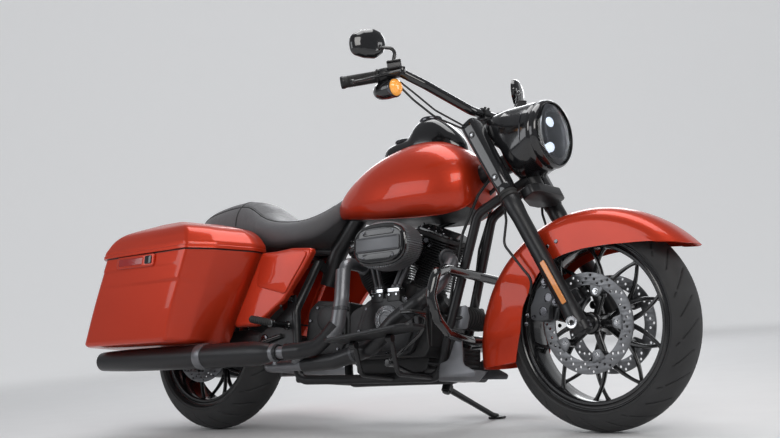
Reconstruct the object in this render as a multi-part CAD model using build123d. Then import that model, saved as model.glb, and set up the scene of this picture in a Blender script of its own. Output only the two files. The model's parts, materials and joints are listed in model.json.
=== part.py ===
"""Touring cruiser motorcycle, leaning on its side stand.

Every piece is drawn upright in the machine's own frame, in millimetres: X forward from the rear axle, Y to the
rider's left, Z up from the ground line. leaned() then turns what steers by REST_STEER and leans the whole machine by
LEAN, and ORIGIN_SHIFT brings the middle of its footprint to the origin.
"""

from build123d import *
import math
import os

# ---- driving dimensions -------------------------------------------------------------------------------------------
WHEELBASE = 1625.0
RAKE = 26.0                  # steering head, from vertical
TRAIL = 170.0
FORK_ANGLE = 28.5            # fork legs, from vertical
FORK_HALF = 122.0            # centre plane to a leg's centre
LEAN = 8.0                   # parked lean, to the left
REST_STEER = -7.0            # parked steering, negative to the right
STEER_LOCK = 31.0            # each way from straight ahead

# wheel: rim flange radius, height of the tyre over it, tyre width, crown radius, rim half width
FRONT = dict(flange=256.0, tall=63.0, width=130.0, crown=66.0, rim_half=50.0)
REAR = dict(flange=243.0, tall=85.0, width=180.0, crown=92.0, rim_half=70.0)

SEAT_GAP = 0.3               # pieces that rest on each other
PIN_GAP = 0.05               # radial, shaft in its bore

AXLE_R = 12.5
DISC_R = 150.0
DISC_THICK = 5.0
FRONT_DISC_Y = 68.0
REAR_DISC_Y = 92.0


def rad(angle):
    return math.radians(angle)


def tyre_radius(wheel):
    return wheel["flange"] + wheel["tall"]


def leaned_z(y, z):
    """Height above the floor of an upright point once the machine leans."""
    return z * math.cos(rad(LEAN)) - y * math.sin(rad(LEAN))


STEER_BASE = Vector(WHEELBASE + TRAIL, 0, 0)
STEER_DIR = Vector(-math.sin(rad(RAKE)), 0, math.cos(rad(RAKE)))
STEER_AXIS = Axis(STEER_BASE, STEER_DIR)
FORK_DIR = Vector(-math.sin(rad(FORK_ANGLE)), 0, math.cos(rad(FORK_ANGLE)))
FORK_FACE = Vector(math.cos(rad(FORK_ANGLE)), 0, math.sin(rad(FORK_ANGLE)))


def turned(vector, axis, angle):
    """vector turned about a unit axis direction."""
    turn = rad(angle)
    along = axis * axis.dot(vector)
    return along + (vector - along) * math.cos(turn) + axis.cross(vector) * math.sin(turn)


def wheel_normal(steer):
    """Unit axle direction, to the left, once the wheel is steered and the machine leans."""
    spindle = turned(Vector(0, 1, 0), STEER_DIR, steer)
    return turned(spindle, Vector(1, 0, 0), -LEAN)


def resting_axle_z(wheel, x, steer):
    """Upright axle height at which the parked tyre's lowest point is on the floor."""
    ring = tyre_radius(wheel) - wheel["crown"]
    height = tyre_radius(wheel)
    for _ in range(4):
        centre = turned(Vector(x, 0, height) - STEER_BASE, STEER_DIR, steer) + STEER_BASE
        tilt = math.sqrt(1 - wheel_normal(steer).Z ** 2)
        low = leaned_z(centre.Y, centre.Z) - ring * tilt - wheel["crown"]
        height -= low / math.cos(rad(LEAN))
    return height


FRONT_AXLE = Vector(WHEELBASE, 0, resting_axle_z(FRONT, WHEELBASE, REST_STEER))
REAR_AXLE = Vector(0, 0, resting_axle_z(REAR, 0.0, 0.0))
FRONT_CAMBER = -math.degrees(math.asin(wheel_normal(REST_STEER).Z))


# ---- shape helpers ------------------------------------------------------------------------------------------------
def side_plane(y):
    """Sketch plane at that y, drawn as seen from the right: local x forward, local y up; extrudes to the right."""
    return Plane(origin=(0, y, 0), x_dir=(1, 0, 0), z_dir=(0, -1, 0))


def slab(points, y_from, y_to):
    """Prism of a side-view polygon between two y planes."""
    outline = make_face(Polyline(*points, close=True))
    return extrude(side_plane(max(y_from, y_to)) * outline, amount=abs(y_to - y_from))


def block(x, y, z, size_x, size_y, size_z, edge=0.0):
    """Box by its centre, with its upright edges rounded."""
    box = Pos(x, y, z) * Box(size_x, size_y, size_z)
    return fillet(box.edges().filter_by(Axis.Z), edge) if edge else box


def rod(start, end, radius):
    """Round bar between two points."""
    start, end = Vector(*start), Vector(*end)
    return extrude(Plane(origin=start, z_dir=end - start) * Circle(radius), amount=(end - start).length)


def pipe(points, radius, bend):
    """Round bar along straight runs joined by arcs of one radius."""
    path = FilletPolyline(*points, radius=bend)
    return sweep(Plane(origin=path @ 0, z_dir=path % 0) * Circle(radius), path=path)


def fused(*shapes):
    total = shapes[0]
    for shape in shapes[1:]:
        total = total + shape
    return total


def ring_section(points, centre):
    """Solid of revolution about the axle: points are (radius, y)."""
    outline = make_face(Polyline(*points, close=True))
    return Pos(*centre) * revolve(outline, Axis.Y)


def on_steer_axis(z):
    """Point of the steering axis at that height."""
    return Vector(STEER_BASE.X - z * math.tan(rad(RAKE)), 0, z)


def on_fork(distance, y=0.0, ahead=0.0):
    """Point that far up the fork leg from the front axle, and that far in front of its centreline."""
    return FRONT_AXLE + FORK_DIR * distance + FORK_FACE * ahead + Vector(0, y, 0)


# ---- wheels -------------------------------------------------------------------------------------------------------
CROWN_STEPS = (-70, -35, 0, 35, 70)      # degrees round the tread from the touching line
SPOKE_FORKS = 5                          # forked spokes a side
SPOKE_HALF = 7.0
STEM_WIDE, BRANCH_WIDE = 22.0, 12.0
BRANCH_TURN = 22.0                       # each branch from its spoke's middle line, at the rim
DISC_LUG_R = 98.0
BOSS_R = 12.0
DISC_BAND, LUG_WIDE = 38.0, 30.0
WELL_DEEP = 20.0


def tyre(wheel, centre, camber):
    half, crown, radius = wheel["width"] / 2, wheel["crown"], tyre_radius(wheel)
    arc = []
    for step in CROWN_STEPS:
        angle = rad(camber + step * (1 - abs(camber) / 90))
        y = max(-half, min(half, crown * math.sin(angle)))
        arc.append((radius - crown + crown * math.cos(angle), y))
    bead = wheel["flange"] + SEAT_GAP
    outline = [(bead, -wheel["rim_half"] + 4), *arc, (bead, wheel["rim_half"] - 4)]
    return ring_section(outline, centre)


def wheel_plane(centre, y):
    """Side-view plane at that y with its middle on the axle."""
    return Plane(origin=centre + Vector(0, y, 0), x_dir=(1, 0, 0), z_dir=(0, -1, 0))


def polar(radius, angle):
    return radius * math.cos(rad(angle)), radius * math.sin(rad(angle))


def rim(wheel, centre, hub_right, hub_left, hub_r, first_angle, disc_sides=()):
    """Drop-centre rim and hub with forked spokes on each side, and bosses out to the discs it carries."""
    flange, half = wheel["flange"], wheel["rim_half"]
    well = flange - WELL_DEEP
    total = ring_section([(well - 8, -half), (flange, -half), (flange, -half + 6), (flange - 12, -half + 9),
                          (well, -14), (well, 14), (flange - 12, half - 9), (flange, half - 6), (flange, half),
                          (well - 8, half), (well - 10, 12), (well - 10, -12)], centre)
    total += extrude(wheel_plane(centre, hub_left) * Circle(hub_r), amount=hub_left + hub_right)
    step = 360 / SPOKE_FORKS
    for side in (-1, 1):
        plane = wheel_plane(centre, side * half * 0.44)
        for index in range(SPOKE_FORKS):
            base = first_angle + step * (index + (0.5 if side > 0 else 0))
            stem = Polyline(polar(0.8 * hub_r, base), polar(DISC_LUG_R + 4, base))
            total += extrude(plane * trace(stem, STEM_WIDE), amount=SPOKE_HALF, both=True)
            for turn in (-BRANCH_TURN, BRANCH_TURN):
                branch = Polyline(polar(DISC_LUG_R - 4, base), polar(well - 2, base + turn))
                total += extrude(plane * trace(branch, BRANCH_WIDE), amount=SPOKE_HALF - 1, both=True)
            if side in disc_sides:
                boss_end = FRONT_DISC_Y - DISC_THICK / 2 - SEAT_GAP
                x, z = polar(DISC_LUG_R, base)
                total += rod((centre.X + x, side * half * 0.44, centre.Z + z), (centre.X + x, side * boss_end,
                             centre.Z + z), BOSS_R)
    return total - extrude(wheel_plane(centre, 200) * Circle(AXLE_R + PIN_GAP), amount=400)


def brake_disc(centre, y, first_angle):
    """Disc ring with an inward lug at each forked spoke."""
    outline = Circle(DISC_R) - Circle(DISC_R - DISC_BAND)
    lug_in, lug_out = DISC_LUG_R - LUG_WIDE / 2, DISC_R - DISC_BAND + 14
    for index in range(SPOKE_FORKS):
        lug = Pos((lug_in + lug_out) / 2, 0) * RectangleRounded(lug_out - lug_in, LUG_WIDE, 8)
        outline += Rot(Z=360 / SPOKE_FORKS * index + first_angle) * lug
    return extrude(wheel_plane(centre, y) * outline, amount=DISC_THICK / 2, both=True)


# ---- the pieces, node by node -------------------------------------------------------------------------------------
nodes = {}                    # name: (upright shape, turns with the steering)


def add(name, *shapes, steered=False):
    solids = [solid for shape in shapes for solid in shape.solids()]
    nodes[name] = (solids[0] if len(solids) == 1 else Compound(solids), steered)


LUG_ANGLE = -2.0
HUB_HALF = 64.0
REAR_HUB_RIGHT = REAR_DISC_Y - DISC_THICK / 2 - SEAT_GAP

BELT_Y, BELT_WIDE, BELT_THICK = 107.0, 24.0, 6.0
PULLEY_R, DRIVE_R = 112.0, 56.0
DRIVE_PULLEY = Vector(478, 0, 318)
PULLEY_WIDE = BELT_WIDE + 4


def front_wheel():
    add("front_tyre", tyre(FRONT, FRONT_AXLE, FRONT_CAMBER), steered=True)
    add("front_rim", rim(FRONT, FRONT_AXLE, HUB_HALF, HUB_HALF, 34, LUG_ANGLE, (-1, 1)), steered=True)
    right = brake_disc(FRONT_AXLE, -FRONT_DISC_Y, LUG_ANGLE)
    left = brake_disc(FRONT_AXLE, FRONT_DISC_Y, LUG_ANGLE + 36)
    add("front_discs", right, left, steered=True)


def rear_wheel():
    add("rear_tyre", tyre(REAR, REAR_AXLE, LEAN))
    pulley_inner = BELT_Y - PULLEY_WIDE / 2
    add("rear_rim", rim(REAR, REAR_AXLE, REAR_HUB_RIGHT, pulley_inner - SEAT_GAP, 42, LUG_ANGLE + 20))
    carrier = extrude(wheel_plane(REAR_AXLE, -REAR_DISC_Y) * (Circle(90) - Circle(AXLE_R + PIN_GAP)),
                      amount=DISC_THICK / 2, both=True)
    add("rear_disc", brake_disc(REAR_AXLE, -REAR_DISC_Y, LUG_ANGLE) + carrier)
    profile = [(AXLE_R + PIN_GAP, pulley_inner), (PULLEY_R + 4, pulley_inner), (PULLEY_R + 4, pulley_inner + 1.6),
               (PULLEY_R, pulley_inner + 1.6), (PULLEY_R, pulley_inner + PULLEY_WIDE - 1.6),
               (PULLEY_R + 4, pulley_inner + PULLEY_WIDE - 1.6), (PULLEY_R + 4, pulley_inner + PULLEY_WIDE),
               (PULLEY_R - 14, pulley_inner + PULLEY_WIDE), (PULLEY_R - 20, pulley_inner + 12),
               (40, pulley_inner + 12), (32, pulley_inner + PULLEY_WIDE), (AXLE_R + PIN_GAP, pulley_inner + PULLEY_WIDE)]
    wheel = ring_section(profile, REAR_AXLE)
    for index in range(5):
        x, z = polar(66, 72 * index + 18)
        wheel -= Pos(REAR_AXLE.X + x, BELT_Y, REAR_AXLE.Z + z) * Rot(X=90) * Cylinder(19, 60)
    add("rear_pulley", wheel)


def drive_belt():
    """Flat loop round both pulleys, 0.3 mm off them so that the wheel turns inside it."""
    radius_rear, radius_drive = PULLEY_R + SEAT_GAP, DRIVE_R + SEAT_GAP
    gap_x = DRIVE_PULLEY.X - REAR_AXLE.X
    gap_z = DRIVE_PULLEY.Z - REAR_AXLE.Z
    reach = math.hypot(gap_x, gap_z)
    line = math.degrees(math.atan2(gap_z, gap_x))
    wrap = math.degrees(math.acos((radius_rear - radius_drive) / reach))

    def loop(grow):
        def at(centre, radius, angle):
            x, z = polar(radius + grow, angle)
            return centre.X + x, centre.Z + z
        upper, lower = line + wrap, line - wrap
        rear_arc = ThreePointArc(at(REAR_AXLE, radius_rear, upper), at(REAR_AXLE, radius_rear, line + 180),
                                 at(REAR_AXLE, radius_rear, lower))
        drive_arc = ThreePointArc(at(DRIVE_PULLEY, radius_drive, lower), at(DRIVE_PULLEY, radius_drive, line),
                                  at(DRIVE_PULLEY, radius_drive, upper))
        return make_face([rear_arc, Line(rear_arc @ 1, drive_arc @ 0), drive_arc, Line(drive_arc @ 1, rear_arc @ 0)])

    belt = extrude(side_plane(BELT_Y + BELT_WIDE / 2) * (loop(BELT_THICK) - loop(0)), amount=BELT_WIDE)
    add("drive_belt", belt)


ARM_Y, ARM_HALF = 135.0, 11.0
REAR_AXLE_END = ARM_Y + ARM_HALF + 8
SOCKET_R, SOCKET_DEEP = 7.0, 24.0
SPACER_R = 19.5
LEG_R = 29.0
LEG_IN_Y = FORK_HALF - LEG_R
FRONT_AXLE_END = FORK_HALF + LEG_R + 5


def axles():
    front = rod((FRONT_AXLE.X, -FRONT_AXLE_END, FRONT_AXLE.Z), (FRONT_AXLE.X, FRONT_AXLE_END, FRONT_AXLE.Z), AXLE_R)
    for side in (-1, 1):
        front += rod((FRONT_AXLE.X, side * (HUB_HALF + 0.5), FRONT_AXLE.Z),
                     (FRONT_AXLE.X, side * (LEG_IN_Y - SEAT_GAP), FRONT_AXLE.Z), SPACER_R)
    front -= rod((FRONT_AXLE.X, -FRONT_AXLE_END - 1, FRONT_AXLE.Z),
                 (FRONT_AXLE.X, SOCKET_DEEP - FRONT_AXLE_END, FRONT_AXLE.Z), SOCKET_R)
    add("front_axle", front, steered=True)
    rear = rod((0, -REAR_AXLE_END, REAR_AXLE.Z), (0, REAR_AXLE_END, REAR_AXLE.Z), AXLE_R)
    arm_in = ARM_Y - ARM_HALF
    disc_face, pulley_face = REAR_DISC_Y + DISC_THICK / 2 + 0.5, BELT_Y + PULLEY_WIDE / 2 + 0.5
    rear += rod((0, -disc_face, REAR_AXLE.Z), (0, SEAT_GAP - arm_in, REAR_AXLE.Z), SPACER_R)
    rear += rod((0, pulley_face, REAR_AXLE.Z), (0, arm_in - SEAT_GAP, REAR_AXLE.Z), SPACER_R)
    add("rear_axle", rear)


# ---- frame --------------------------------------------------------------------------------------------------------
TUBE = 16.0
NECK_LOW, NECK_HIGH = 762.0, 930.0
NECK_R = 32.0
STEM_R = 16.0
DOWN_Y = 62.0
RAIL_Z = 172.0
REAR_TUBE_Y = 142.0
REAR_TUBE_X = 528.0
BACKBONE_R = 34.0
SEAT_RAIL_R = 13.0
SEAT_RAIL_Y = 95.6
SEAT_RAIL_Z = 636.0
PIVOT = Vector(392, 0, 322)
PIVOT_R = 23.0
ARM_TALL = 44.0              # swingarm at the axle
PLATE_FROM, PLATE_TO = 149.6, 156.5
SHOCK_TOP = Vector(150, 0, 566)
SHOCK_Y = 153.8
SHOCK_FOOT = REAR_AXLE + Vector(58, 0, 0)
EYE_HALF = 7.5
SHOCK_PIN_R = 9.0
BACKBONE = ((1334, 0, 868), (1180, 0, 832), (720, 0, 782), (600, 0, 640), (560, 0, 520))


def backbone(grow):
    return pipe(BACKBONE, BACKBONE_R + grow, 80)


def cradle(side, grow=0.0):
    """Down tube, lower rail and rear upright of one side."""
    low = on_steer_axis(NECK_LOW)
    return pipe([(low.X - 14, side * 20, low.Z + 34), (1232, side * 44, 700), (1128, side * DOWN_Y, 330),
                 (1092, side * DOWN_Y, RAIL_Z), (760, side * 96, RAIL_Z),
                 (REAR_TUBE_X + 20, side * REAR_TUBE_Y, RAIL_Z), (REAR_TUBE_X, side * REAR_TUBE_Y, 420),
                 (REAR_TUBE_X + 30, side * 60, 600)], TUBE + grow, [50, 80, 50, 60, 40, 60])


def seat_rail(side, grow=0.0):
    return pipe([(590, side * 20, 640), (440, side * SEAT_RAIL_Y, 648), (60, side * SEAT_RAIL_Y, SEAT_RAIL_Z),
                 (-118, side * SEAT_RAIL_Y, 612)], SEAT_RAIL_R + grow, 60)


STAND_PIVOT = Vector(1008, 106, 144)
STAND_FOOT = Vector(1082, 318, 46)
STAND_R = 11.0
STAND_DOWN = (STAND_FOOT - STAND_PIVOT).normalized()
STAND_UP = Vector(-0.985, 0.16, -0.03).normalized()
STAND_AXIS = STAND_DOWN.cross(STAND_UP).normalized()
STAND_SWING = math.degrees(math.acos(STAND_DOWN.dot(STAND_UP)))
PIN_HALF = 12.0


def stand_bracket():
    """Pin, retaining head and welded strut that carry the side stand."""
    pin = rod(tuple(STAND_PIVOT - STAND_AXIS * (PIN_HALF + 6)), tuple(STAND_PIVOT + STAND_AXIS * (PIN_HALF + 12)), 7)
    head = rod(tuple(STAND_PIVOT - STAND_AXIS * (PIN_HALF + 6)), tuple(STAND_PIVOT - STAND_AXIS * (PIN_HALF + 0.5)), 13)
    top = STAND_PIVOT + STAND_AXIS * (PIN_HALF + 0.5)
    web = rod(tuple(top), tuple(top + STAND_AXIS * 14), 15)
    strut = rod((top.X, top.Y + 4, RAIL_Z + 5), (top.X - 4, 70, RAIL_Z + 4), 9)
    return fused(pin, head, web, strut)


def shock_hanger(side, grow=0.0):
    """Plate under the seat rail that carries a shock's upper pin."""
    return slab([(SHOCK_TOP.X - 30 - grow, SEAT_RAIL_Z), (SHOCK_TOP.X + 40 + grow, SEAT_RAIL_Z),
                 (SHOCK_TOP.X + 18 + grow, SHOCK_TOP.Z - 14), (SHOCK_TOP.X - 18 - grow, SHOCK_TOP.Z - 14)],
                side * (SEAT_RAIL_Y + 1 - grow), side * (SEAT_RAIL_Y + 11 + grow))


def frame():
    low, high = on_steer_axis(NECK_LOW), on_steer_axis(NECK_HIGH)
    total = rod(tuple(low), tuple(high), NECK_R) + backbone(0)
    for side in (-1, 1):
        loop = cradle(side)
        loop += rod((REAR_TUBE_X + 30, side * 60, 600), (REAR_TUBE_X + 40, 0, 560), TUBE)
        rail = seat_rail(side)
        plate = slab([(REAR_TUBE_X + 10, 250), (REAR_TUBE_X + 8, 472), (REAR_TUBE_X - 26, 472),
                      (REAR_TUBE_X - 30, 430), (PIVOT.X + 4, PIVOT.Z + 34), (PIVOT.X - 30, PIVOT.Z + 14),
                      (PIVOT.X - 30, PIVOT.Z - 16), (PIVOT.X + 4, PIVOT.Z - 32)], side * PLATE_FROM, side * PLATE_TO)
        hanger = shock_hanger(side)
        stud = rod((SHOCK_TOP.X, side * (SEAT_RAIL_Y + 2), SHOCK_TOP.Z), (SHOCK_TOP.X, side * (SHOCK_Y + EYE_HALF + 2),
                   SHOCK_TOP.Z), SHOCK_PIN_R)
        total = fused(total, loop, rail, plate, hanger, stud)
    total += rod((1092, -DOWN_Y, RAIL_Z + 6), (1092, DOWN_Y, RAIL_Z + 6), 13)
    total += rod((REAR_TUBE_X + 20, -REAR_TUBE_Y, RAIL_Z + 4), (REAR_TUBE_X + 20, REAR_TUBE_Y, RAIL_Z + 4), 13)
    total += rod((440, -SEAT_RAIL_Y, 646), (440, SEAT_RAIL_Y, 646), 11)
    total += stand_bracket()
    bore = rod(tuple(on_steer_axis(NECK_LOW - 20)), tuple(on_steer_axis(NECK_HIGH + 20)), STEM_R + PIN_GAP)
    add("frame", total - bore)


def swingarm():
    total = rod((PIVOT.X, -PLATE_FROM + SEAT_GAP, PIVOT.Z), (PIVOT.X, PLATE_FROM - SEAT_GAP, PIVOT.Z), PIVOT_R)
    for side in (-1, 1):
        low, high = REAR_AXLE.Z - ARM_TALL / 2, REAR_AXLE.Z + ARM_TALL / 2
        arm = slab([(PIVOT.X, PIVOT.Z - 21), (PIVOT.X + 10, PIVOT.Z + 22), (300, high + 12), (40, high + 4),
                    (-46, high - 2), (-46, low + 2), (40, low - 6), (300, low - 6)],
                   side * (ARM_Y - ARM_HALF), side * (ARM_Y + ARM_HALF))
        total += arm
        total += rod((SHOCK_FOOT.X, side * ARM_Y, SHOCK_FOOT.Z), (SHOCK_FOOT.X, side * (SHOCK_Y + EYE_HALF + 2),
                     SHOCK_FOOT.Z), SHOCK_PIN_R)
    total -= rod((0, -200, REAR_AXLE.Z), (0, 200, REAR_AXLE.Z), AXLE_R + PIN_GAP)
    add("swingarm", total)


def shocks():
    made = []
    for side in (-1, 1):
        top = Vector(SHOCK_TOP.X, side * SHOCK_Y, SHOCK_TOP.Z)
        foot = Vector(SHOCK_FOOT.X, side * SHOCK_Y, SHOCK_FOOT.Z)
        length = (top - foot).length
        steps = [(0, 8), (7, 8), (7, 36), (14, 40)]
        coils = 7
        pitch = (length - 84) / coils
        for index in range(coils):
            base = 42 + index * pitch
            steps += [(14, base), (18, base + 0.3 * pitch), (18, base + 0.6 * pitch), (14, base + 0.9 * pitch)]
        steps += [(14, length - 42), (12, length - 40), (12, length - 8), (0, length - 8)]
        spring = revolve(Plane.XZ * make_face(Polyline(*steps, close=True)), Axis.Z)
        body = Plane(origin=foot, z_dir=top - foot).location * spring
        for eye in (top, foot):
            body += rod((eye.X, eye.Y - EYE_HALF, eye.Z), (eye.X, eye.Y + EYE_HALF, eye.Z), 16)
        for eye in (top, foot):
            body -= rod((eye.X, eye.Y - 20, eye.Z), (eye.X, eye.Y + 20, eye.Z), SHOCK_PIN_R + PIN_GAP)
        made.append(body)
    add("rear_shocks", *made)


# ---- engine -------------------------------------------------------------------------------------------------------
CRANK = Vector(925, 0, 290)
V_HALF = 22.5
CYL_FROM, ROCKER_FROM, ROCKER_TO = 205.0, 372.0, 414.0
FIN_COUNT = 11
FIN_SIZE = 150.0
HEAD_FIN_SIZE = 172.0
HEAD_FINS = 4
BARREL_R, CYL_BASE_R = 56.0, 70.0
CASE_RIGHT, CASE_LEFT = 108.0, 106.0


def cylinder_plane(lean, distance):
    """Plane square to a cylinder that far from the crank; local x along the machine, local y to the left."""
    axis = Vector(math.sin(rad(lean)), 0, math.cos(rad(lean)))
    return Plane(origin=CRANK + axis * distance, x_dir=Vector(axis.Z, 0, -axis.X), z_dir=axis)


def cylinders():
    made = []
    for lean in (-V_HALF, V_HALF):
        barrel = extrude(cylinder_plane(lean, CYL_FROM) * Circle(BARREL_R), amount=ROCKER_FROM - CYL_FROM)
        pitch = (ROCKER_FROM - CYL_FROM) / FIN_COUNT
        for index in range(FIN_COUNT):
            size = HEAD_FIN_SIZE if index >= FIN_COUNT - HEAD_FINS else FIN_SIZE
            fin = RectangleRounded(FIN_SIZE, size, 30)
            start = CYL_FROM + pitch * index + (0.5 * pitch if index < FIN_COUNT - 1 else 0.4 * pitch)
            barrel += extrude(cylinder_plane(lean, start) * fin, amount=pitch * 0.4)
        made.append(barrel)
    add("cylinders", *made)


def barrel_room(lean):
    """Space of one finned cylinder with the seating gap."""
    outline = RectangleRounded(FIN_SIZE + 2 * SEAT_GAP, HEAD_FIN_SIZE + 2 * SEAT_GAP, 30)
    return extrude(cylinder_plane(lean, CYL_FROM) * outline, amount=ROCKER_FROM - CYL_FROM)


def rocker_covers():
    made = []
    for lean in (-V_HALF, V_HALF):
        base = extrude(cylinder_plane(lean, ROCKER_FROM + SEAT_GAP) * RectangleRounded(146, 188, 28), amount=16)
        top = loft([cylinder_plane(lean, ROCKER_FROM + 16) * RectangleRounded(138, 180, 28),
                    cylinder_plane(lean, ROCKER_TO) * RectangleRounded(108, 136, 28)])
        made.append(base + top)
    add("rocker_covers", *made)


def crankcase():
    bases = [extrude(cylinder_plane(lean, CYL_FROM - 60) * Circle(CYL_BASE_R), amount=60 - SEAT_GAP)
             for lean in (-V_HALF, V_HALF)]
    body = slab([(748, 236), (748, 400), (830, 432), (1020, 432), (1066, 392), (1080, 262), (1060, 236)],
                -CASE_RIGHT, CASE_LEFT)
    add("crankcase", fused(body, oil_pan(), *bases))


def gearbox():
    case = slab([(560, 236), (548, 330), (560, 420), (600, 452), (747.7, 436), (747.7, 236)], -108, 88)
    cover = rod((664, -108, 382), (664, -136, 382), 46)
    belt_in, belt_out = BELT_Y - BELT_WIDE / 2, BELT_Y + BELT_WIDE / 2
    output = rod((DRIVE_PULLEY.X, belt_in - 6, DRIVE_PULLEY.Z), (DRIVE_PULLEY.X, belt_out, DRIVE_PULLEY.Z), DRIVE_R)
    neck = slab([(DRIVE_PULLEY.X - 30, DRIVE_PULLEY.Z - 26), (DRIVE_PULLEY.X - 30, DRIVE_PULLEY.Z + 26), (600, 380),
                 (600, 260)], 40, belt_in - 2)
    add("gearbox", fused(case, cover, neck, output))


def oil_pan():
    return slab([(756, 196), (750, 240), (1058, 240), (1046, 200), (1030, 190), (770, 186)], -74, 74)


TAPPET_TOP = 466.0


def pushrod_tubes():
    made = []
    for sign, lean in ((-1, -V_HALF), (1, V_HALF)):
        head = cylinder_plane(lean, ROCKER_FROM - 2 * SEAT_GAP).origin
        for shift in (-13, 13):
            foot = Vector(CRANK.X + sign * 34 + 0.7 * shift, -127, 455)
            top = Vector(head.X - sign * 40 + shift, -98, head.Z + sign * 40 * math.tan(rad(lean)) - 8)
            below = block(CRANK.X, -127, TAPPET_TOP + SEAT_GAP - 40, 200, 60, 80)
            made.append(rod(tuple(foot), tuple(top), 7.5) - below)
    add("pushrod_tubes", *made)


CAM_FROM, CAM_TO = CASE_RIGHT + SEAT_GAP, 140.0


def cam_cover():
    plate = slab([(838, 244), (796, 330), (834, 424), (890, 452), (966, 452), (1044, 412), (1062, 330), (1020, 244)],
                 -CAM_FROM, -CAM_TO)
    dome = rod((CRANK.X + 11, -CAM_TO, 362), (CRANK.X + 11, -CAM_TO - 14, 362), 46)
    blocks = [slab([(x - 26, 440), (x - 24, TAPPET_TOP), (x + 24, TAPPET_TOP), (x + 26, 440)], -CAM_FROM, -CAM_TO)
              for x in (CRANK.X - 34, CRANK.X + 34)]
    add("cam_cover", fused(plate, dome, *blocks))


PRIMARY_FROM, PRIMARY_TO = 122.0, 206.0


def primary():
    outline = Pos(810, 322) * Rot(Z=2) * SlotCenterToCenter(270, 236)
    cover = extrude(side_plane(PRIMARY_TO) * outline, amount=PRIMARY_TO - PRIMARY_FROM)
    derby = rod((664, PRIMARY_TO, 318), (664, PRIMARY_TO + 12, 318), 76)
    inner = extrude(side_plane(PRIMARY_FROM) * (Pos(820, 322) * SlotCenterToCenter(230, 150)),
                    amount=PRIMARY_FROM - CASE_LEFT - SEAT_GAP)
    add("primary_cover", fused(cover, derby, inner))


AIR = Vector(968, 0, 598)


def air_cleaner():
    throat = rod((CRANK.X, 0, AIR.Z - 8), (CRANK.X, -132, AIR.Z - 8), 30)
    manifold = rod((CRANK.X - 70, 0, AIR.Z - 8), (CRANK.X + 70, 0, AIR.Z - 8), 24)
    throat = throat + manifold - barrel_room(-V_HALF) - barrel_room(V_HALF)
    back = extrude(side_plane(-130) * (Pos(AIR.X, AIR.Z) * Ellipse(96, 66)), amount=12)
    element = extrude(side_plane(-142) * (Pos(AIR.X, AIR.Z) * Ellipse(108, 72)), amount=66)
    rim_ring = extrude(side_plane(-208) * (Pos(AIR.X, AIR.Z) * Ellipse(118, 76)), amount=20)
    add("air_cleaner", fused(throat, back, element, rim_ring))
    cover = extrude(side_plane(-228 - SEAT_GAP) * (Pos(AIR.X, AIR.Z) * Ellipse(100, 64)), amount=12)
    bar = extrude(side_plane(-240) * (Pos(AIR.X, AIR.Z) * RectangleRounded(178, 52, 6)), amount=7)
    add("air_cleaner_cover", cover + bar)


MUFFLER_Y, MUFFLER_Z, MUFFLER_R = 300.0, 257.0, 43.0
MUFFLER_FROM, MUFFLER_TO = 600.0, -338.0
LEFT_MUFFLER_FROM = 320.0


def muffler(start):
    radius = MUFFLER_R
    body = [(start, 0), (start, 27), (start - 30, 27), (start - 86, radius - 3), (start - 120, radius), (252, radius),
            (250, radius + 2.5), (214, radius + 2.5), (212, radius - 1), (MUFFLER_TO, radius - 7),
            (MUFFLER_TO, radius - 12), (MUFFLER_TO + 90, radius - 14), (MUFFLER_TO + 90, 0)]
    return Pos(0, -MUFFLER_Y, MUFFLER_Z) * revolve(make_face(Polyline(*body, close=True)), Axis.X)


def exhaust():
    right_in = (MUFFLER_FROM + SEAT_GAP, -MUFFLER_Y, MUFFLER_Z)
    rear_head = pipe([(790, -HEAD_FIN_SIZE / 2 - SEAT_GAP, 590), (790, -190, 590), (812, -226, 420), (800, -236, 330),
                      (740, -270, 270), (MUFFLER_FROM + 60, -MUFFLER_Y, MUFFLER_Z), right_in], 22, 40)
    front_head = pipe([(1106, -HEAD_FIN_SIZE / 2 - SEAT_GAP, 574), (1106, -150, 574), (1152, -206, 500), (1110, -228, 390),
                       (950, -242, 262), (800, -244, 226), (640, -236, 218)], 22, [40, 44, 60, 60, 60])
    cross = pipe([(640, -236, 218), (470, -224, 218), (440, -120, 222), (440, 120, 222), (430, 250, 228),
                  (LEFT_MUFFLER_FROM + 60, MUFFLER_Y, 250), (LEFT_MUFFLER_FROM + 20, MUFFLER_Y, MUFFLER_Z),
                  (LEFT_MUFFLER_FROM + SEAT_GAP, MUFFLER_Y, MUFFLER_Z)], 20, [60, 60, 60, 50, 30, 10])
    link = rod((690, -MUFFLER_Y + 14, MUFFLER_Z), (600, -226, 220), 16)
    add("exhaust_pipes", fused(rear_head, front_head, cross, link))
    add("mufflers", muffler(MUFFLER_FROM), mirror(muffler(LEFT_MUFFLER_FROM), about=Plane.XZ))


# ---- bodywork -----------------------------------------------------------------------------------------------------
def tank_body():
    # station x, bottom z, top z, half width, height of the widest point
    stations = ((624, 742, 780, 24, 762), (700, 716, 866, 92, 766), (840, 703, 950, 138, 778),
                (1000, 703, 986, 158, 790), (1130, 708, 964, 150, 796), (1222, 742, 884, 104, 806))
    sections = []
    for x, low, high, half, wide in stations:
        plane = Plane(origin=(x, 0, 0), x_dir=(0, 1, 0), z_dir=(1, 0, 0))
        base = 0.62 * half
        bottom = Line((-base, low), (base, low))
        flank = ThreePointArc((base, low), (0.93 * half, low + 0.30 * (wide - low)), (half, wide))
        shoulder = ThreePointArc((half, wide), (0.66 * half, wide + 0.78 * (high - wide)), (0, high))
        sections.append(plane * make_face([bottom, flank, shoulder, mirror(shoulder, about=Plane.YZ),
                                           mirror(flank, about=Plane.YZ)]))
    return loft(sections)


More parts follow.
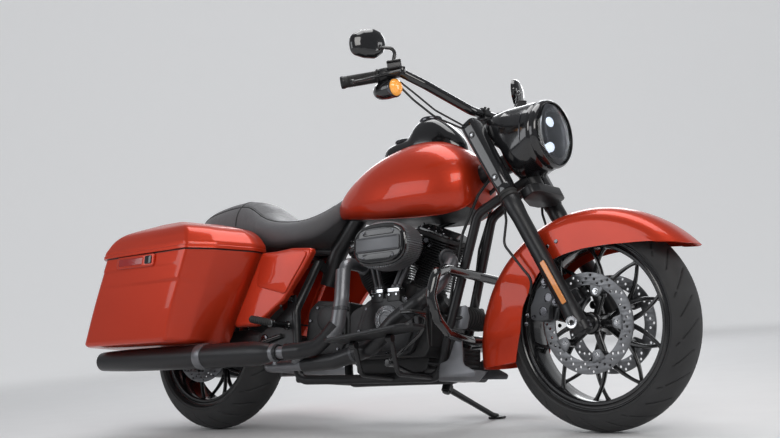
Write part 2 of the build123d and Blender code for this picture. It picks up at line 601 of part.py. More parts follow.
def tank():
    body = tank_body()
    below = slab([*[(x, z) for x, _, z in BACKBONE[:4]], (BACKBONE[3][0], 560), (BACKBONE[0][0], 560)],
                 -BACKBONE_R - SEAT_GAP, BACKBONE_R + SEAT_GAP)
    add("fuel_tank", body - backbone(SEAT_GAP) - below)
    dash = loft([Pos(965, 0, 940) * RectangleRounded(270, 112, 40), Pos(975, 0, 990) * RectangleRounded(250, 104, 40),
                 Pos(990, 0, 1008) * RectangleRounded(190, 76, 36)], ruled=True)
    add("tank_console", dash - Pos(0, 0, SEAT_GAP) * body)


def seat():
    # station x, bottom z, top z, half width
    stations = ((-62, 690, 815, 74), (40, 690, 860, 128), (200, 690, 876, 142), (300, 668, 850, 150),
                (420, 664, 780, 170), (540, 664, 748, 166), (616, 700, 776, 100))
    sections = []
    for x, low, high, half in stations:
        plane = Plane(origin=(x, 0, 0), x_dir=(0, 1, 0), z_dir=(1, 0, 0))
        middle = low + 0.45 * (high - low)
        crown = ThreePointArc((half, middle), (0, high), (-half, middle))
        base = Line((-0.8 * half, low), (0.8 * half, low))
        sections.append(plane * make_face([base, Line(base @ 1, crown @ 0), crown, Line(crown @ 1, base @ 0)]))
    fender = Pos(*REAR_AXLE) * Rot(X=90) * Cylinder(REAR_FENDER_R + SEAT_GAP, 500)
    add("seat", loft(sections) - fender - backbone(SEAT_GAP))


COVER_IN, COVER_OUT = 190.0, 214.0


def side_cover():
    outline = [(418, 628), (490, 627), (568, 632), (668, 622), (622, 557), (573, 501), (529, 447), (473, 412),
               (426, 376), (395, 365), (282, 365)]
    panel = slab(outline, -COVER_IN, -COVER_OUT)
    stud = rod((516, -COVER_IN - 1, 458), (516, -PLATE_TO - SEAT_GAP, 458), 8)
    return panel + stud


BAG_IN, BAG_OUT = 176.0, 420.0
BAG_FLOOR, BAG_SEAM, BAG_TOP = 306.0, 632.0, 752.0
BAG_WALL = 5.0


def bag_section(z, inset, rear, front_out, front_in, flare):
    outer, inner = BAG_OUT + flare - inset, BAG_IN + inset
    return Plane(origin=(0, 0, z)) * make_face(Polyline(
        (rear + inset, -inner), (rear + inset, -outer + 34), (rear + inset + 34, -outer), (front_out - inset, -outer),
        (0.5 * (front_out + front_in) - inset, -outer + 70), (front_in - inset, -inner - 60), (front_in - inset, -inner),
        close=True))


def saddlebag():
    shell = loft([bag_section(BAG_FLOOR, 0, -348, 150, 236, 0), bag_section(BAG_SEAM, 0, -228, 252, 404, 8)], ruled=True)
    room = loft([bag_section(BAG_FLOOR + BAG_WALL, BAG_WALL, -346, 152, 240, 0),
                 bag_section(BAG_SEAM + 1, BAG_WALL, -228, 252, 404, 8)], ruled=True)
    return shell - room


LID_RIM = 30.0


def bag_lid():
    seam = BAG_SEAM + SEAT_GAP

    def tiers(inset):
        return (bag_section(seam - (1 if inset else 0), inset, -238, 258, 412, 16),
                bag_section(seam + LID_RIM, inset, -232, 256, 408, 14),
                bag_section(BAG_SEAM + 88 - inset, inset, -160, 226, 340, -8),
                bag_section(BAG_TOP - inset, inset, -10, 150, 220, -60))
    outer = [loft(list(pair), ruled=True) for pair in zip(tiers(0), tiers(0)[1:])]
    inner = [loft(list(pair), ruled=True) for pair in zip(tiers(BAG_WALL), tiers(BAG_WALL)[1:])]
    return fused(*outer) - fused(*inner)


def bags():
    add("saddlebags", saddlebag(), mirror(saddlebag(), about=Plane.XZ))
    add("bag_lid_right", bag_lid())
    add("bag_lid_left", mirror(bag_lid(), about=Plane.XZ))
    cover = side_cover()
    add("side_covers", cover, mirror(cover, about=Plane.XZ))


def bag_rails():
    under = BAG_FLOOR - 8 - SEAT_GAP
    rail = pipe([(480, -PLATE_TO - 8 - SEAT_GAP, 330), (330, -PLATE_TO - 10, under), (200, -206, under),
                 (-190, -206, under), (-236, -158, under), (-292, -134, 350),
                 (-306, -REAR_FENDER_HALF - 8 - SEAT_GAP, 420)], 8, [40, 40, 24, 24, 30])
    add("bag_rails", rail, mirror(rail, about=Plane.XZ))


REAR_FENDER_R = tyre_radius(REAR) + 44.0
FENDER_SKIN = 3.0
REAR_FENDER_HALF = REAR["width"] / 2 + 22.0


def fender_tail(z):
    """Rearmost x of the rear fender's crown at that height."""
    return REAR_AXLE.X - math.sqrt(REAR_FENDER_R ** 2 - (z - REAR_AXLE.Z) ** 2)


def rear_fender():
    radius, half, skin = REAR_FENDER_R, REAR_FENDER_HALF, FENDER_SKIN
    section = [(300, -half), (radius - 40, -half), (radius - 10, -80), (radius, -40), (radius, 40), (radius - 10, 80),
               (radius - 40, half), (300, half), (300, half - skin), (radius - 42, half - skin), (radius - 13, 78),
               (radius - skin, 40), (radius - skin, -40), (radius - 13, -78), (radius - 42, -half + skin),
               (300, -half + skin)]
    keep = slab([(REAR_AXLE.X, REAR_AXLE.Z), (470, 560), (470, 900), (-700, 900), (-700, 340), (-300, 340)], -150, 150)
    shell = ring_section(section, REAR_AXLE) & keep
    for side in (-1, 1):
        shell -= seat_rail(side, SEAT_GAP) + shock_hanger(side, 2 * SEAT_GAP)
    add("rear_fender", shell)


TAIL_LAMP_Z, SIGNAL_Z, PLATE_Z = 520.0, 440.0, 368.0
PLATE_FACE_X = fender_tail(PLATE_Z) - 30.0
SIGNAL_X = fender_tail(SIGNAL_Z) - 43.0
SIGNAL_R = 27.0
PLATE_BOLT_PITCH = 146.0
PLATE_HOLE_R = 3.5


def rear_lamps():
    lamp = block(fender_tail(TAIL_LAMP_Z) - 27, 0, TAIL_LAMP_Z, 60, 120, 60, 8)
    keep_out = Pos(*REAR_AXLE) * Rot(X=90) * Cylinder(REAR_FENDER_R + SEAT_GAP, 500)
    bar = rod((SIGNAL_X, -190, SIGNAL_Z), (SIGNAL_X, 190, SIGNAL_Z), 9)
    stem = block(SIGNAL_X + 18, 0, SIGNAL_Z, 70, 60, 26)
    signals = [rod((SIGNAL_X - 32, side * 176, SIGNAL_Z), (SIGNAL_X + 32, side * 176, SIGNAL_Z), SIGNAL_R)
               for side in (-1, 1)]
    add("tail_lamp", lamp - keep_out)
    add("rear_signals", fused(bar, stem, *signals) - keep_out)
    plate = block(PLATE_FACE_X + 2, 0, PLATE_Z - 6, 4, 184, 110) - keep_out
    for side in (-1, 1):
        hole_y = side * PLATE_BOLT_PITCH / 2
        plate -= rod((PLATE_FACE_X - 9, hole_y, PLATE_Z), (PLATE_FACE_X + 9, hole_y, PLATE_Z), PLATE_HOLE_R)
    arm = block(PLATE_FACE_X + 10, 0, 405, 24, 40, 50) - keep_out
    stem_room = block(SIGNAL_X, 0, SIGNAL_Z, 120, 400, 26 + 2 * SEAT_GAP)
    add("plate_bracket", fused(plate, arm) - stem_room)


# ---- front end ----------------------------------------------------------------------------------------------------
FENDER_CENTRE = FRONT_AXLE + Vector(12, 0, -73)
FENDER_R = tyre_radius(FRONT) + 101.0
FRONT_FENDER_HALF = LEG_IN_Y - SEAT_GAP
COVER_FROM, COVER_TO = 494.0, 762.0
COVER_HALF = 30.0
COVER_DEEP = 52.0
COVER_AHEAD = 5.0            # cover's middle in front of the leg's


def front_fender():
    outer, skin, half = FENDER_R, FENDER_SKIN, FRONT_FENDER_HALF
    section = [(200, -half), (outer - 46, -half), (outer - 14, -66), (outer, -30), (outer, 30), (outer - 14, 66),
               (outer - 46, half), (200, half), (200, half - skin), (outer - 47, half - skin), (outer - 16, 64),
               (outer - skin, 29), (outer - skin, -29), (outer - 16, -64), (outer - 47, -half + skin), (200, -half + skin)]
    # skirt's lower edge from the fender's middle: forward tip, over the hub, rear tip
    edge = [(463, 270), (163, 291), (-15, 290), (-95, 274), (-137, 254), (-187, 195), (-223, 136), (-238, 64),
            (-259, -23), (-270, -50), (-537, -56), (-537, 654), (463, 654)]
    keep = slab([(FENDER_CENTRE.X + x, FENDER_CENTRE.Z + z) for x, z in edge], -150, 150)
    add("front_fender", ring_section(section, FENDER_CENTRE) & keep, steered=True)


def fork_section(distance, y, size_y, size_x):
    plane = Plane(origin=on_fork(distance, y, COVER_AHEAD), x_dir=(0, 1, 0), z_dir=FORK_DIR)
    return plane * RectangleRounded(size_y, size_x, 20)


CALIPER_LUGS = (96.0, 168.0)
CALIPER_FACE = 100.0


def fork():
    legs, covers = [], []
    for side in (-1, 1):
        y = side * FORK_HALF
        leg = rod(tuple(on_fork(-36, y)), tuple(on_fork(COVER_FROM, y)), LEG_R)
        for distance in CALIPER_LUGS:
            centre = on_fork(distance, 0, -38)
            leg += rod((centre.X, side * CALIPER_FACE, centre.Z), (centre.X, side * (CALIPER_FACE + 14), centre.Z), 13)
            base = on_fork(distance, side * (CALIPER_FACE + 7), -24)
            leg += Plane(origin=base, x_dir=FORK_FACE, z_dir=(0, 1, 0)).location * Box(30, 20, 14)
        leg -= rod((FRONT_AXLE.X, -300, FRONT_AXLE.Z), (FRONT_AXLE.X, 300, FRONT_AXLE.Z), AXLE_R + PIN_GAP)
        legs.append(leg)
        covers.append(loft([fork_section(COVER_FROM + SEAT_GAP, y, 2 * COVER_HALF, COVER_DEEP),
                            fork_section(COVER_TO, y, 2 * COVER_HALF, COVER_DEEP + 4)]))
    add("fork_legs", *legs, steered=True)
    add("fork_covers", *covers, steered=True)


def caliper(centre, side, disc_y, mid_angle, inner, outer):
    """Two halves over the disc's edge, joined outside it; inner and outer are the halves' far faces."""

    def sector(radius_in, radius_out, spread):
        arc_points = [polar(radius_out, mid_angle + turn) for turn in (-spread, 0, spread)]
        back = [polar(radius_in, mid_angle + turn) for turn in (spread, 0, -spread)]
        return make_face([ThreePointArc(*arc_points), Line(arc_points[-1], back[0]), ThreePointArc(*back),
                          Line(back[-1], arc_points[0])])
    y_from, y_to = side * inner, side * outer
    body = extrude(wheel_plane(centre, max(y_from, y_to)) * sector(112, 184, 22), amount=abs(y_to - y_from))
    slot = extrude(wheel_plane(centre, side * disc_y) * sector(100, DISC_R + 6, 40), amount=DISC_THICK / 2 + 3,
                   both=True)
    return body - slot


def front_calipers():
    made = [caliper(FRONT_AXLE, side, FRONT_DISC_Y, 153, FRONT_DISC_Y - 30, CALIPER_FACE - SEAT_GAP)
            for side in (-1, 1)]
    add("front_calipers", *made, steered=True)


def rear_caliper():
    add("rear_caliper", caliper(REAR_AXLE, -1, REAR_DISC_Y, 28, REAR_DISC_Y - 17, ARM_Y - ARM_HALF - SEAT_GAP))


def triple_clamps():
    total = rod(tuple(on_steer_axis(NECK_LOW - 26)), tuple(on_steer_axis(NECK_HIGH + 36)), STEM_R)
    for z, thick in ((NECK_LOW - 26, 32), (NECK_HIGH + 24, 24)):
        plane = Plane(origin=on_steer_axis(z), x_dir=(0, 1, 0), z_dir=STEER_DIR)
        wide = FRONT_FENDER_HALF if z < NECK_HIGH else NACELLE_HALF - 3.5
        total += extrude(plane * (Pos(0, 24) * RectangleRounded(2 * wide, 72, 14)), amount=thick / 2, both=True)
    for side in (-1, 1):
        foot = on_steer_axis(NECK_HIGH + 24) + Vector(-26, side * RISER_Y, 0)
        total += rod(tuple(foot), (BAR_CENTRE.X + 8, side * RISER_Y, BAR_CENTRE.Z - BAR_R - SEAT_GAP - 6), 12)
        total += block(BAR_CENTRE.X + 4, side * RISER_Y, BAR_CENTRE.Z - BAR_R - SEAT_GAP - 5, 34, 34, 10)
    add("triple_clamps", total, steered=True)


RISER_Y = 46.0
BAR_CENTRE = on_steer_axis(1038) - Vector(24.7, 0, 0)
BAR_R = 15.0
NACELLE_HALF = 88.0
LAMP_Z, LAMP_R = 932.0, 92.0
LAMP_X = on_steer_axis(LAMP_Z).X + 151.6
BOWL_R = 112.0


def nacelle():
    """Shell round the lamp, open below the bar, with its bezel and reflector bowl."""

    def bowl(inset, back):
        centre = Plane(origin=(LAMP_X + back, 0, LAMP_Z), x_dir=(0, 1, 0), z_dir=(1, 0, 0))
        middle = Plane(origin=(LAMP_X - 64, 0, LAMP_Z - 2), x_dir=(0, 1, 0), z_dir=(1, 0, 0))
        rear = Plane(origin=(LAMP_X - 204 - back, 0, LAMP_Z + 12), x_dir=(0, 1, 0), z_dir=(1, 0, 0))
        return loft([rear * RectangleRounded(2 * (NACELLE_HALF - inset), 164 - 2 * inset, 70 - inset),
                     middle * RectangleRounded(2 * (106 - inset), 2 * (110 - inset), 104 - inset),
                     centre * RectangleRounded(2 * (BOWL_R - inset), 2 * (BOWL_R - inset), BOWL_R - inset - 0.5)],
                    ruled=True)
    shell = bowl(0, 0) - bowl(3, 1)
    lower_edge = [(-292, 28), (-182, 12), (-140, -26), (-46, -114), (-46, -232), (-292, -232)]
    below = slab([(LAMP_X + x, LAMP_Z + z) for x, z in lower_edge], -150, 150)
    bezel = ring_x([(LAMP_X - 20, LAMP_R - 6), (LAMP_X - 20, BOWL_R - 8), (LAMP_X + SEAT_GAP, BOWL_R - 8),
                    (LAMP_X + SEAT_GAP, BOWL_R), (LAMP_X + 12, BOWL_R - 2), (LAMP_X + 18, BOWL_R - 10),
                    (LAMP_X + 16, LAMP_R - 1), (LAMP_X + 4, LAMP_R - 6)], LAMP_Z)
    back = ring_x([(LAMP_X - 20, 0), (LAMP_X - 20, LAMP_R - 4), (LAMP_X - 60, 66), (LAMP_X - 60, 0)], LAMP_Z)
    add("nacelle", shell - below, bezel + back, steered=True)
    lens = ring_x([(LAMP_X - 19.7, 0), (LAMP_X - 19.7, LAMP_R - 6.3), (LAMP_X + 2, LAMP_R - 6.3), (LAMP_X + 10, 60),
                   (LAMP_X + 14, 0)], LAMP_Z)
    add("headlamp", lens, steered=True)


def ring_x(points, z):
    """Solid of revolution about a lengthwise line at that height: points are (x, radius)."""
    return Pos(0, 0, z) * revolve(make_face(Polyline(*points, close=True)), Axis.X)


# right-hand bar from its middle: straight stretch, bends, grip root and end
BAR_ROUTE = ((0, 0, 0), (0, -110, 0), (-68, -262, 74), (-118, -322, 114), (-264, -442, 90))
BAR_POINTS = tuple(tuple(BAR_CENTRE + Vector(*offset)) for offset in BAR_ROUTE)
BAR_BENDS = [60, 50, 34]
GRIP_LONG = 118.0
GRIP_R = 19.0
HOUSING_R, HOUSING_LONG = 25.0, 46.0


def handlebar():
    bar = pipe(BAR_POINTS, BAR_R, BAR_BENDS)
    add("handlebar", fused(bar, mirror(bar, about=Plane.XZ)), steered=True)


def bar_end(distance, forward=0.0, up=0.0):
    """Point on the right-hand bar that far in from its end."""
    end = Vector(*BAR_POINTS[4])
    return end - BAR_ALONG * distance + Vector(forward, 0, up)


BAR_ALONG = (Vector(*BAR_POINTS[4]) - Vector(*BAR_POINTS[3])).normalized()


def bar_box(distance, forward, up, long, deep, tall):
    """Block squared to the bar's end stretch."""
    upward = BAR_ALONG.cross(Vector(0, 0, 1).cross(BAR_ALONG))
    return Plane(origin=bar_end(distance, forward, up), x_dir=BAR_ALONG, z_dir=upward).location * Box(long, deep, tall)


def bar_rod(start, end, radius):
    return rod(tuple(bar_end(start)), tuple(bar_end(end)), radius)


def bar_fittings():
    grip = bar_rod(GRIP_LONG, -8, GRIP_R) - bar_rod(GRIP_LONG + 2, -SEAT_GAP, BAR_R + SEAT_GAP)
    add("grips", grip, mirror(grip, about=Plane.XZ), steered=True)
    inner = GRIP_LONG + SEAT_GAP
    outer = inner + HOUSING_LONG
    housing = bar_rod(inner, outer, HOUSING_R)
    reservoir = bar_box(inner + 24, 26, 26, 58, 42, 30)
    perch = bar_box(inner + 26, 30, 0, 30, 50, 22)
    control = fused(housing, reservoir, perch) - pipe(BAR_POINTS, BAR_R + SEAT_GAP, BAR_BENDS)
    pivot = bar_end(inner + 26, 68)
    lever = pipe([tuple(pivot), tuple(bar_end(inner - 20, 70, -4)), tuple(bar_end(24, 46, -8)),
                  tuple(bar_end(-4, 50, -8))], 6, [40, 40])
    lever += rod(tuple(pivot + Vector(0, 0, -9)), tuple(pivot + Vector(0, 0, 9)), 10)
    lever -= bar_box(inner + 26, 30, 0, 30 + 2 * SEAT_GAP, 50 + 2 * SEAT_GAP, 22 + 2 * SEAT_GAP)
    add("bar_controls", control, mirror(control, about=Plane.XZ), lever, mirror(lever, about=Plane.XZ), steered=True)
    clearance = bar_rod(inner - 30, outer + 30, HOUSING_R + SEAT_GAP)
    lamp = bar_end(inner + 22, -2, -58)
    signal = rod(tuple(lamp + Vector(-50, 0, 0)), tuple(lamp + Vector(50, 0, 0)), 28)
    signal = signal + rod(tuple(lamp), tuple(bar_end(inner + 22)), 8) - clearance
    add("front_signals", signal, mirror(signal, about=Plane.XZ), steered=True)
    face = BAR_CENTRE + Vector(-192, -408, 214)
    plane = Plane(origin=face, x_dir=(0, 1, 0), z_dir=(1, 0, 0))
    glass_house = extrude(plane * Ellipse(74, 46), amount=12)
    glass_house += loft([plane.offset(12) * Ellipse(74, 46), plane.offset(28) * Ellipse(52, 30)])
    foot = bar_end(inner + 40, 26, 41 + SEAT_GAP)
    stem = pipe([tuple(foot), tuple(foot + Vector(2, 0, 34)), (face.X + 14, face.Y + 12, face.Z - 24)], 6, 16)
    reservoir_room = bar_box(inner + 24, 26, 26, 58 + 2 * SEAT_GAP, 42 + 2 * SEAT_GAP, 30 + 2 * SEAT_GAP)
    looker = fused(glass_house, stem) - reservoir_room
    add("mirrors", looker, mirror(looker, about=Plane.XZ), steered=True)


# ---- running gear on the sides ------------------------------------------------------------------------------------
BOARD = Vector(1030, -330, 290)
BOARD_TILT = 6.0
BOARD_LONG, BOARD_WIDE, BOARD_THICK = 330.0, 116.0, 14.0


def footboards():
    plane = Plane(origin=BOARD, x_dir=(math.cos(rad(BOARD_TILT)), 0, math.sin(rad(BOARD_TILT))),
                  z_dir=(-math.sin(rad(BOARD_TILT)), 0, math.cos(rad(BOARD_TILT))))
    whole = extrude(plane * RectangleRounded(BOARD_LONG, BOARD_WIDE, 34), amount=BOARD_THICK)
    for x, y_start in ((925, -100), (1068, -82)):
        height = BOARD.Z + (x - BOARD.X) * math.tan(rad(BOARD_TILT)) + 6
        whole += pipe([(x, y_start, RAIL_Z), (x, BOARD.Y, RAIL_Z + 2), (x, BOARD.Y, height)], 9, 30)
    whole -= cradle(-1, SEAT_GAP)
    add("footboards", whole, mirror(whole, about=Plane.XZ))


GUARD_R = 16.0


def engine_guard():
    loop = pipe([(1196, -20, 502), (1206, -200, 499), (1240, -306, 470), (1232, -322, 400), (1240, -306, 336),
                 (1212, -200, 300), (1172, -20, 290)], GUARD_R, [60, 40, 50, 40, 60])
    half = loop - cradle(-1, SEAT_GAP)
    bars = fused(half, mirror(half, about=Plane.XZ), rod((1196, -24, 502), (1196, 24, 502), GUARD_R),
                 rod((1172, -24, 290), (1172, 24, 290), GUARD_R))
    add("engine_guard", bars)


def front_gear():
    """Rectifier, oil cooler and chin piece between the down tubes and the front wheel."""
    fins = block(1178, 0, 362, 20, 100, 72)
    for index in range(9):
        fins += block(1190, -44 + 11 * index, 362, 20, 3.5, 72)
    straps = [rod((1172, side * 46, 362), (1146, side * (DOWN_Y - 6), 362), 7) for side in (-1, 1)]
    rectifier = fused(fins, *straps) - cradle(-1, SEAT_GAP) - cradle(1, SEAT_GAP)
    add("rectifier", rectifier)
    core = block(1150, 0, 236, 30, 96, 60)
    for side in (-1, 1):
        core += rod((1150, side * 40, 236), (1112, side * DOWN_Y, 236), 7)
    for index in range(7):
        core += block(1158, 0, 211 + 8 * index, 40, 104, 2.5)
    add("oil_cooler", core - cradle(-1, SEAT_GAP) - cradle(1, SEAT_GAP))
    chin = loft([Pos(1130, 0, 160) * RectangleRounded(90, 150, 20), Pos(1150, 0, 196) * RectangleRounded(96, 196, 20)])
    add("chin_cover", chin - cradle(-1, SEAT_GAP) - cradle(1, SEAT_GAP) - block(1092, 0, RAIL_Z + 6, 28, 200, 28))


def foot_controls():
    pad = block(1172, BOARD.Y + 4, 352, 44, 84, 12, 10)
    arm = pipe([(1010, -232, 214), (1150, -250, 300), (1170, -262, 346), (1172, BOARD.Y + 24, 352)], 6, [50, 14])
    hub = rod((1010, -215, 214), (1010, -238, 214), 14)
    post = rod((1010, -236, 214), (1010, -72, RAIL_Z + 6), 7)
    pedal = fused(pad, arm, hub, post) - cradle(-1, SEAT_GAP)
    rod_end = pipe([(1040, 232, 214), (1150, 250, 300), (1170, 262, 346), (1172, -BOARD.Y - 30, 350)], 6, [50, 14])
    peg = rod((1172, -BOARD.Y - 34, 350), (1172, -BOARD.Y + 34, 350), 11)
    hub = rod((1040, 215, 214), (1040, 238, 214), 14)
    post = rod((1040, 236, 214), (1040, 68, RAIL_Z + 6), 7)
    add("foot_levers", pedal, fused(rod_end, peg, hub, post) - cradle(1, SEAT_GAP))


def passenger_pegs():
    base = Vector(500, -PLATE_TO - SEAT_GAP, 366)
    mount = rod(tuple(base), (base.X, -COVER_OUT - 24, base.Z), 13)
    peg = rod((base.X + 6, -COVER_OUT - 22, base.Z), (base.X - 92, -COVER_OUT - 34, base.Z + 20), 14)
    one = fused(mount, peg)
    add("passenger_pegs", one, mirror(one, about=Plane.XZ))


def horn():
    cup = ring_y([(0, 150), (46, 150), (62, 176), (62, 184), (0, 196)], Vector(CRANK.X, 0, 590))
    stalk = rod((CRANK.X, 46, 590), (CRANK.X, 150.5, 590), 12)
    bracket = block(CRANK.X, 46, 590, 140, 8, 34) - barrel_room(-V_HALF) - barrel_room(V_HALF)
    add("horn", fused(cup, stalk, bracket))


def ring_y(points, centre):
    """Solid of revolution about a crosswise line: points are (radius, y)."""
    return Pos(centre.X, 0, centre.Z) * revolve(make_face(Polyline(*points, close=True)), Axis.Y)


def side_stand():
    floor_up = Vector(0, -math.sin(rad(LEAN)), math.cos(rad(LEAN)))
    leg = rod(tuple(STAND_PIVOT), tuple(STAND_FOOT - STAND_DOWN * 8), STAND_R)
    eye = rod(tuple(STAND_PIVOT - STAND_AXIS * PIN_HALF), tuple(STAND_PIVOT + STAND_AXIS * PIN_HALF), 19)
    # the pad's underside lies flat on the floor of the leaning machine
    floor_y = STAND_FOOT.Y
    floor_z = floor_y * math.tan(rad(LEAN))
    pad_plane = Plane(origin=(STAND_FOOT.X - 4, floor_y, floor_z), x_dir=(1, 0, 0), z_dir=floor_up)
    pad = extrude(pad_plane * RectangleRounded(58, 40, 12), amount=9)
    leg += rod(tuple(STAND_FOOT - STAND_DOWN * 30), (STAND_FOOT.X - 4, floor_y, floor_z + 6), STAND_R - 1)
    below = pad_plane.location * Pos(0, 0, -50) * Box(200, 200, 100)
    whole = fused(leg, eye, pad) - below
    pin_hole = rod(tuple(STAND_PIVOT - STAND_AXIS * 40), tuple(STAND_PIVOT + STAND_AXIS * 40), 7 + PIN_GAP)
    add("side_stand", whole - pin_hole)


for make in (front_wheel, rear_wheel, drive_belt, axles, frame, swingarm, shocks, cylinders, rocker_covers, crankcase,
             gearbox, pushrod_tubes, cam_cover, primary, air_cleaner, exhaust, tank, seat, bags, bag_rails,
             rear_fender, rear_lamps, front_fender, fork, front_calipers, rear_caliper, triple_clamps, nacelle,
             handlebar, bar_fittings, footboards, engine_guard, front_gear, foot_controls, passenger_pegs, horn,
             side_stand):
    make()


# ---- parking and writing ------------------------------------------------------------------------------------------
def leaned(shape, steered):
    """The upright piece as it stands parked, with the rear axle still over the origin."""
    if steered:
        shape = shape.rotate(STEER_AXIS, REST_STEER)
    return shape.rotate(Axis.X, -LEAN)


parked = {name: leaned(shape, steered) for name, (shape, steered) in nodes.items()}
footprint = Compound([s for shape in parked.values() for s in shape.solids()]).bounding_box()
ORIGIN_SHIFT = Vector(-(footprint.min.X + footprint.max.X) / 2, -(footprint.min.Y + footprint.max.Y) / 2,
                      -footprint.min.Z)

os.makedirs("parts", exist_ok=True)
for name, shape in parked.items():
    export_step(Pos(*ORIGIN_SHIFT) * shape, f"parts/{name}.step")
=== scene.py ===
"""Touring cruiser motorcycle on its side stand: finishes, detailed pieces, camera, lights and floor.

Pieces are drawn upright in millimetres, X forward from the rear axle, Y to the rider's left, Z up. PARKED
leans them with the machine and STEERED also turns them with the front end; both come from the frame's joints.
"""

import json
from math import acos, asin, atan2, copysign, cos, degrees, hypot, pi, radians, sin, sqrt, tan

import bmesh
import bpy
import numpy as np
from mathutils import Matrix, Vector


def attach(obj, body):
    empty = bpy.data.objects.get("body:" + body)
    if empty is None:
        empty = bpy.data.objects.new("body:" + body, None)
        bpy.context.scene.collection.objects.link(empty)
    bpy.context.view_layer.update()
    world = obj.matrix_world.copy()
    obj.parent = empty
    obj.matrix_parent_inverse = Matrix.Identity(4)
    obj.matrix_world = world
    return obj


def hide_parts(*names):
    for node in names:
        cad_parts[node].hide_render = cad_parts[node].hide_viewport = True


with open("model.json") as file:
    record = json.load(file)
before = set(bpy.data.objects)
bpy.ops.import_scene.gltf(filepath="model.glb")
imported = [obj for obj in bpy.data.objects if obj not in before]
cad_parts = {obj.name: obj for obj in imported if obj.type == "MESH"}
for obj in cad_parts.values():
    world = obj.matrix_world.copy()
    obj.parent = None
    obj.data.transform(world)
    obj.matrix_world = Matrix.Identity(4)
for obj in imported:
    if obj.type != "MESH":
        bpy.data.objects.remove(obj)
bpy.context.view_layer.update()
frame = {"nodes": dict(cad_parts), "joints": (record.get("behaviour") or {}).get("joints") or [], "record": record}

# ---- the machine's own frame
FORWARD, RIGHT, LEFT, UP = (1, 0, 0), (0, -1, 0), (0, 1, 0), (0, 0, 1)
LEAN = radians(8)
REST_STEER = radians(-7)
joints = {joint["name"]: joint for joint in frame["joints"]}
rear_hub = Vector(joints["rear_wheel_spin"]["pos_m"])
floor_shift = Vector((rear_hub.x, rear_hub.y - rear_hub.z * tan(LEAN), 0))
PARKED = Matrix.Translation(floor_shift) @ Matrix.Rotation(-LEAN, 4, "X") @ Matrix.Scale(0.001, 4)
steer_pivot = PARKED.inverted() @ Vector(joints["steering"]["pos_m"])
steer_axis = Matrix.Rotation(LEAN, 3, "X") @ Vector(joints["steering"]["axis"])
STEERED = (PARKED @ Matrix.Translation(steer_pivot) @ Matrix.Rotation(REST_STEER, 4, steer_axis)
           @ Matrix.Translation(-steer_pivot))
REAR_AXLE = PARKED.inverted() @ rear_hub
FRONT_AXLE = STEERED.inverted() @ Vector(joints["front_wheel_spin"]["pos_m"])
STEERED_BODIES = ("front_end", "front_wheel")

FORK_ANGLE = radians(28.5)
FORK_DIR = Vector((-sin(FORK_ANGLE), 0, cos(FORK_ANGLE)))
FORK_FACE = Vector((cos(FORK_ANGLE), 0, sin(FORK_ANGLE)))
FORK_HALF = 122.0


def on_fork(distance, y=0.0, ahead=0.0):
    """Point that far up the fork leg from the front axle, and that far in front of its centreline."""
    return FRONT_AXLE + FORK_DIR * distance + FORK_FACE * ahead + Vector((0, y, 0))


# ---- shapes: (points, faces) in millimetres
def around(count, start=0.0):
    """That many equal steps of a full turn, in radians."""
    return np.linspace(start, start + 2 * pi, count, endpoint=False)


def skin(rings, caps=True, loop=False):
    """Surface through rings of equally many points; loop joins the last ring to the first."""
    rings = [np.asarray([tuple(p) for p in ring], float) for ring in rings]
    count = len(rings[0])
    points = np.concatenate(rings)
    faces = []
    for r in range(len(rings) if loop else len(rings) - 1):
        a, b = r * count, (r + 1) % len(rings) * count
        for i in range(count):
            j = (i + 1) % count
            faces.append((a + i, a + j, b + j, b + i))
    if caps and not loop:
        faces += [tuple(range(count)), tuple(range(len(points) - count, len(points)))]
    return points, faces


def sheet_of(grid):
    """Open surface through a grid of points."""
    grid = np.asarray([[tuple(p) for p in row] for row in grid], float)
    rows, columns = grid.shape[:2]
    faces = [(r * columns + c, r * columns + c + 1, (r + 1) * columns + c + 1, (r + 1) * columns + c)
             for r in range(rows - 1) for c in range(columns - 1)]
    return grid.reshape(-1, 3), faces


def joined(*shapes):
    points, faces, base = [], [], 0
    for shape_points, shape_faces in shapes:
        points.append(np.asarray(shape_points, float))
        faces += [tuple(i + base for i in face) for face in shape_faces]
        base += len(shape_points)
    return np.concatenate(points), faces


def moved(shape, matrix):
    points, faces = shape
    turn = np.array(matrix.to_3x3())
    return points @ turn.T + np.array(matrix.translation), faces


def mirrored(shape):
    """The same shape on the machine's other side."""
    points, faces = shape
    return points * np.array((1, -1, 1)), [tuple(reversed(face)) for face in faces]


def both_sides(shape):
    return joined(shape, mirrored(shape))


def frame_at(origin, z_dir, x_hint=FORWARD):
    """Matrix with its origin there and its local Z along z_dir."""
    z = Vector(z_dir).normalized()
    hint = Vector(x_hint)
    if abs(z.dot(hint.normalized())) > 0.98:
        hint = Vector(LEFT) if abs(z.y) < 0.9 else Vector(UP)
    x = (hint - z * hint.dot(z)).normalized()
    y = z.cross(x)
    matrix = Matrix((x, y, z)).transposed().to_4x4()
    matrix.translation = Vector(origin)
    return matrix


def side_view(y):
    """Local x forward, local y up, local z out to the right, from the plane at that y."""
    return Matrix(((1, 0, 0, 0), (0, 0, -1, y), (0, 1, 0, 0), (0, 0, 0, 1)))


def lathe(profile, matrix, segments=48, loop=False):
    """Solid of revolution about local Z: profile is (radius, height)."""
    rings = [[(r * cos(a), r * sin(a), h) for a in around(segments)] for r, h in profile]
    return moved(skin(rings, caps=not loop, loop=loop), matrix)


def rod(start, end, radius, sides=20):
    start, end = Vector(start), Vector(end)
    return lathe([(radius, 0), (radius, (end - start).length)], frame_at(start, end - start), sides)


def headings(path):
    """Unit direction of a path at each of its points."""
    return [(after - before).normalized() for before, after in zip(path[:1] + path, path[1:] + path[-1:])]


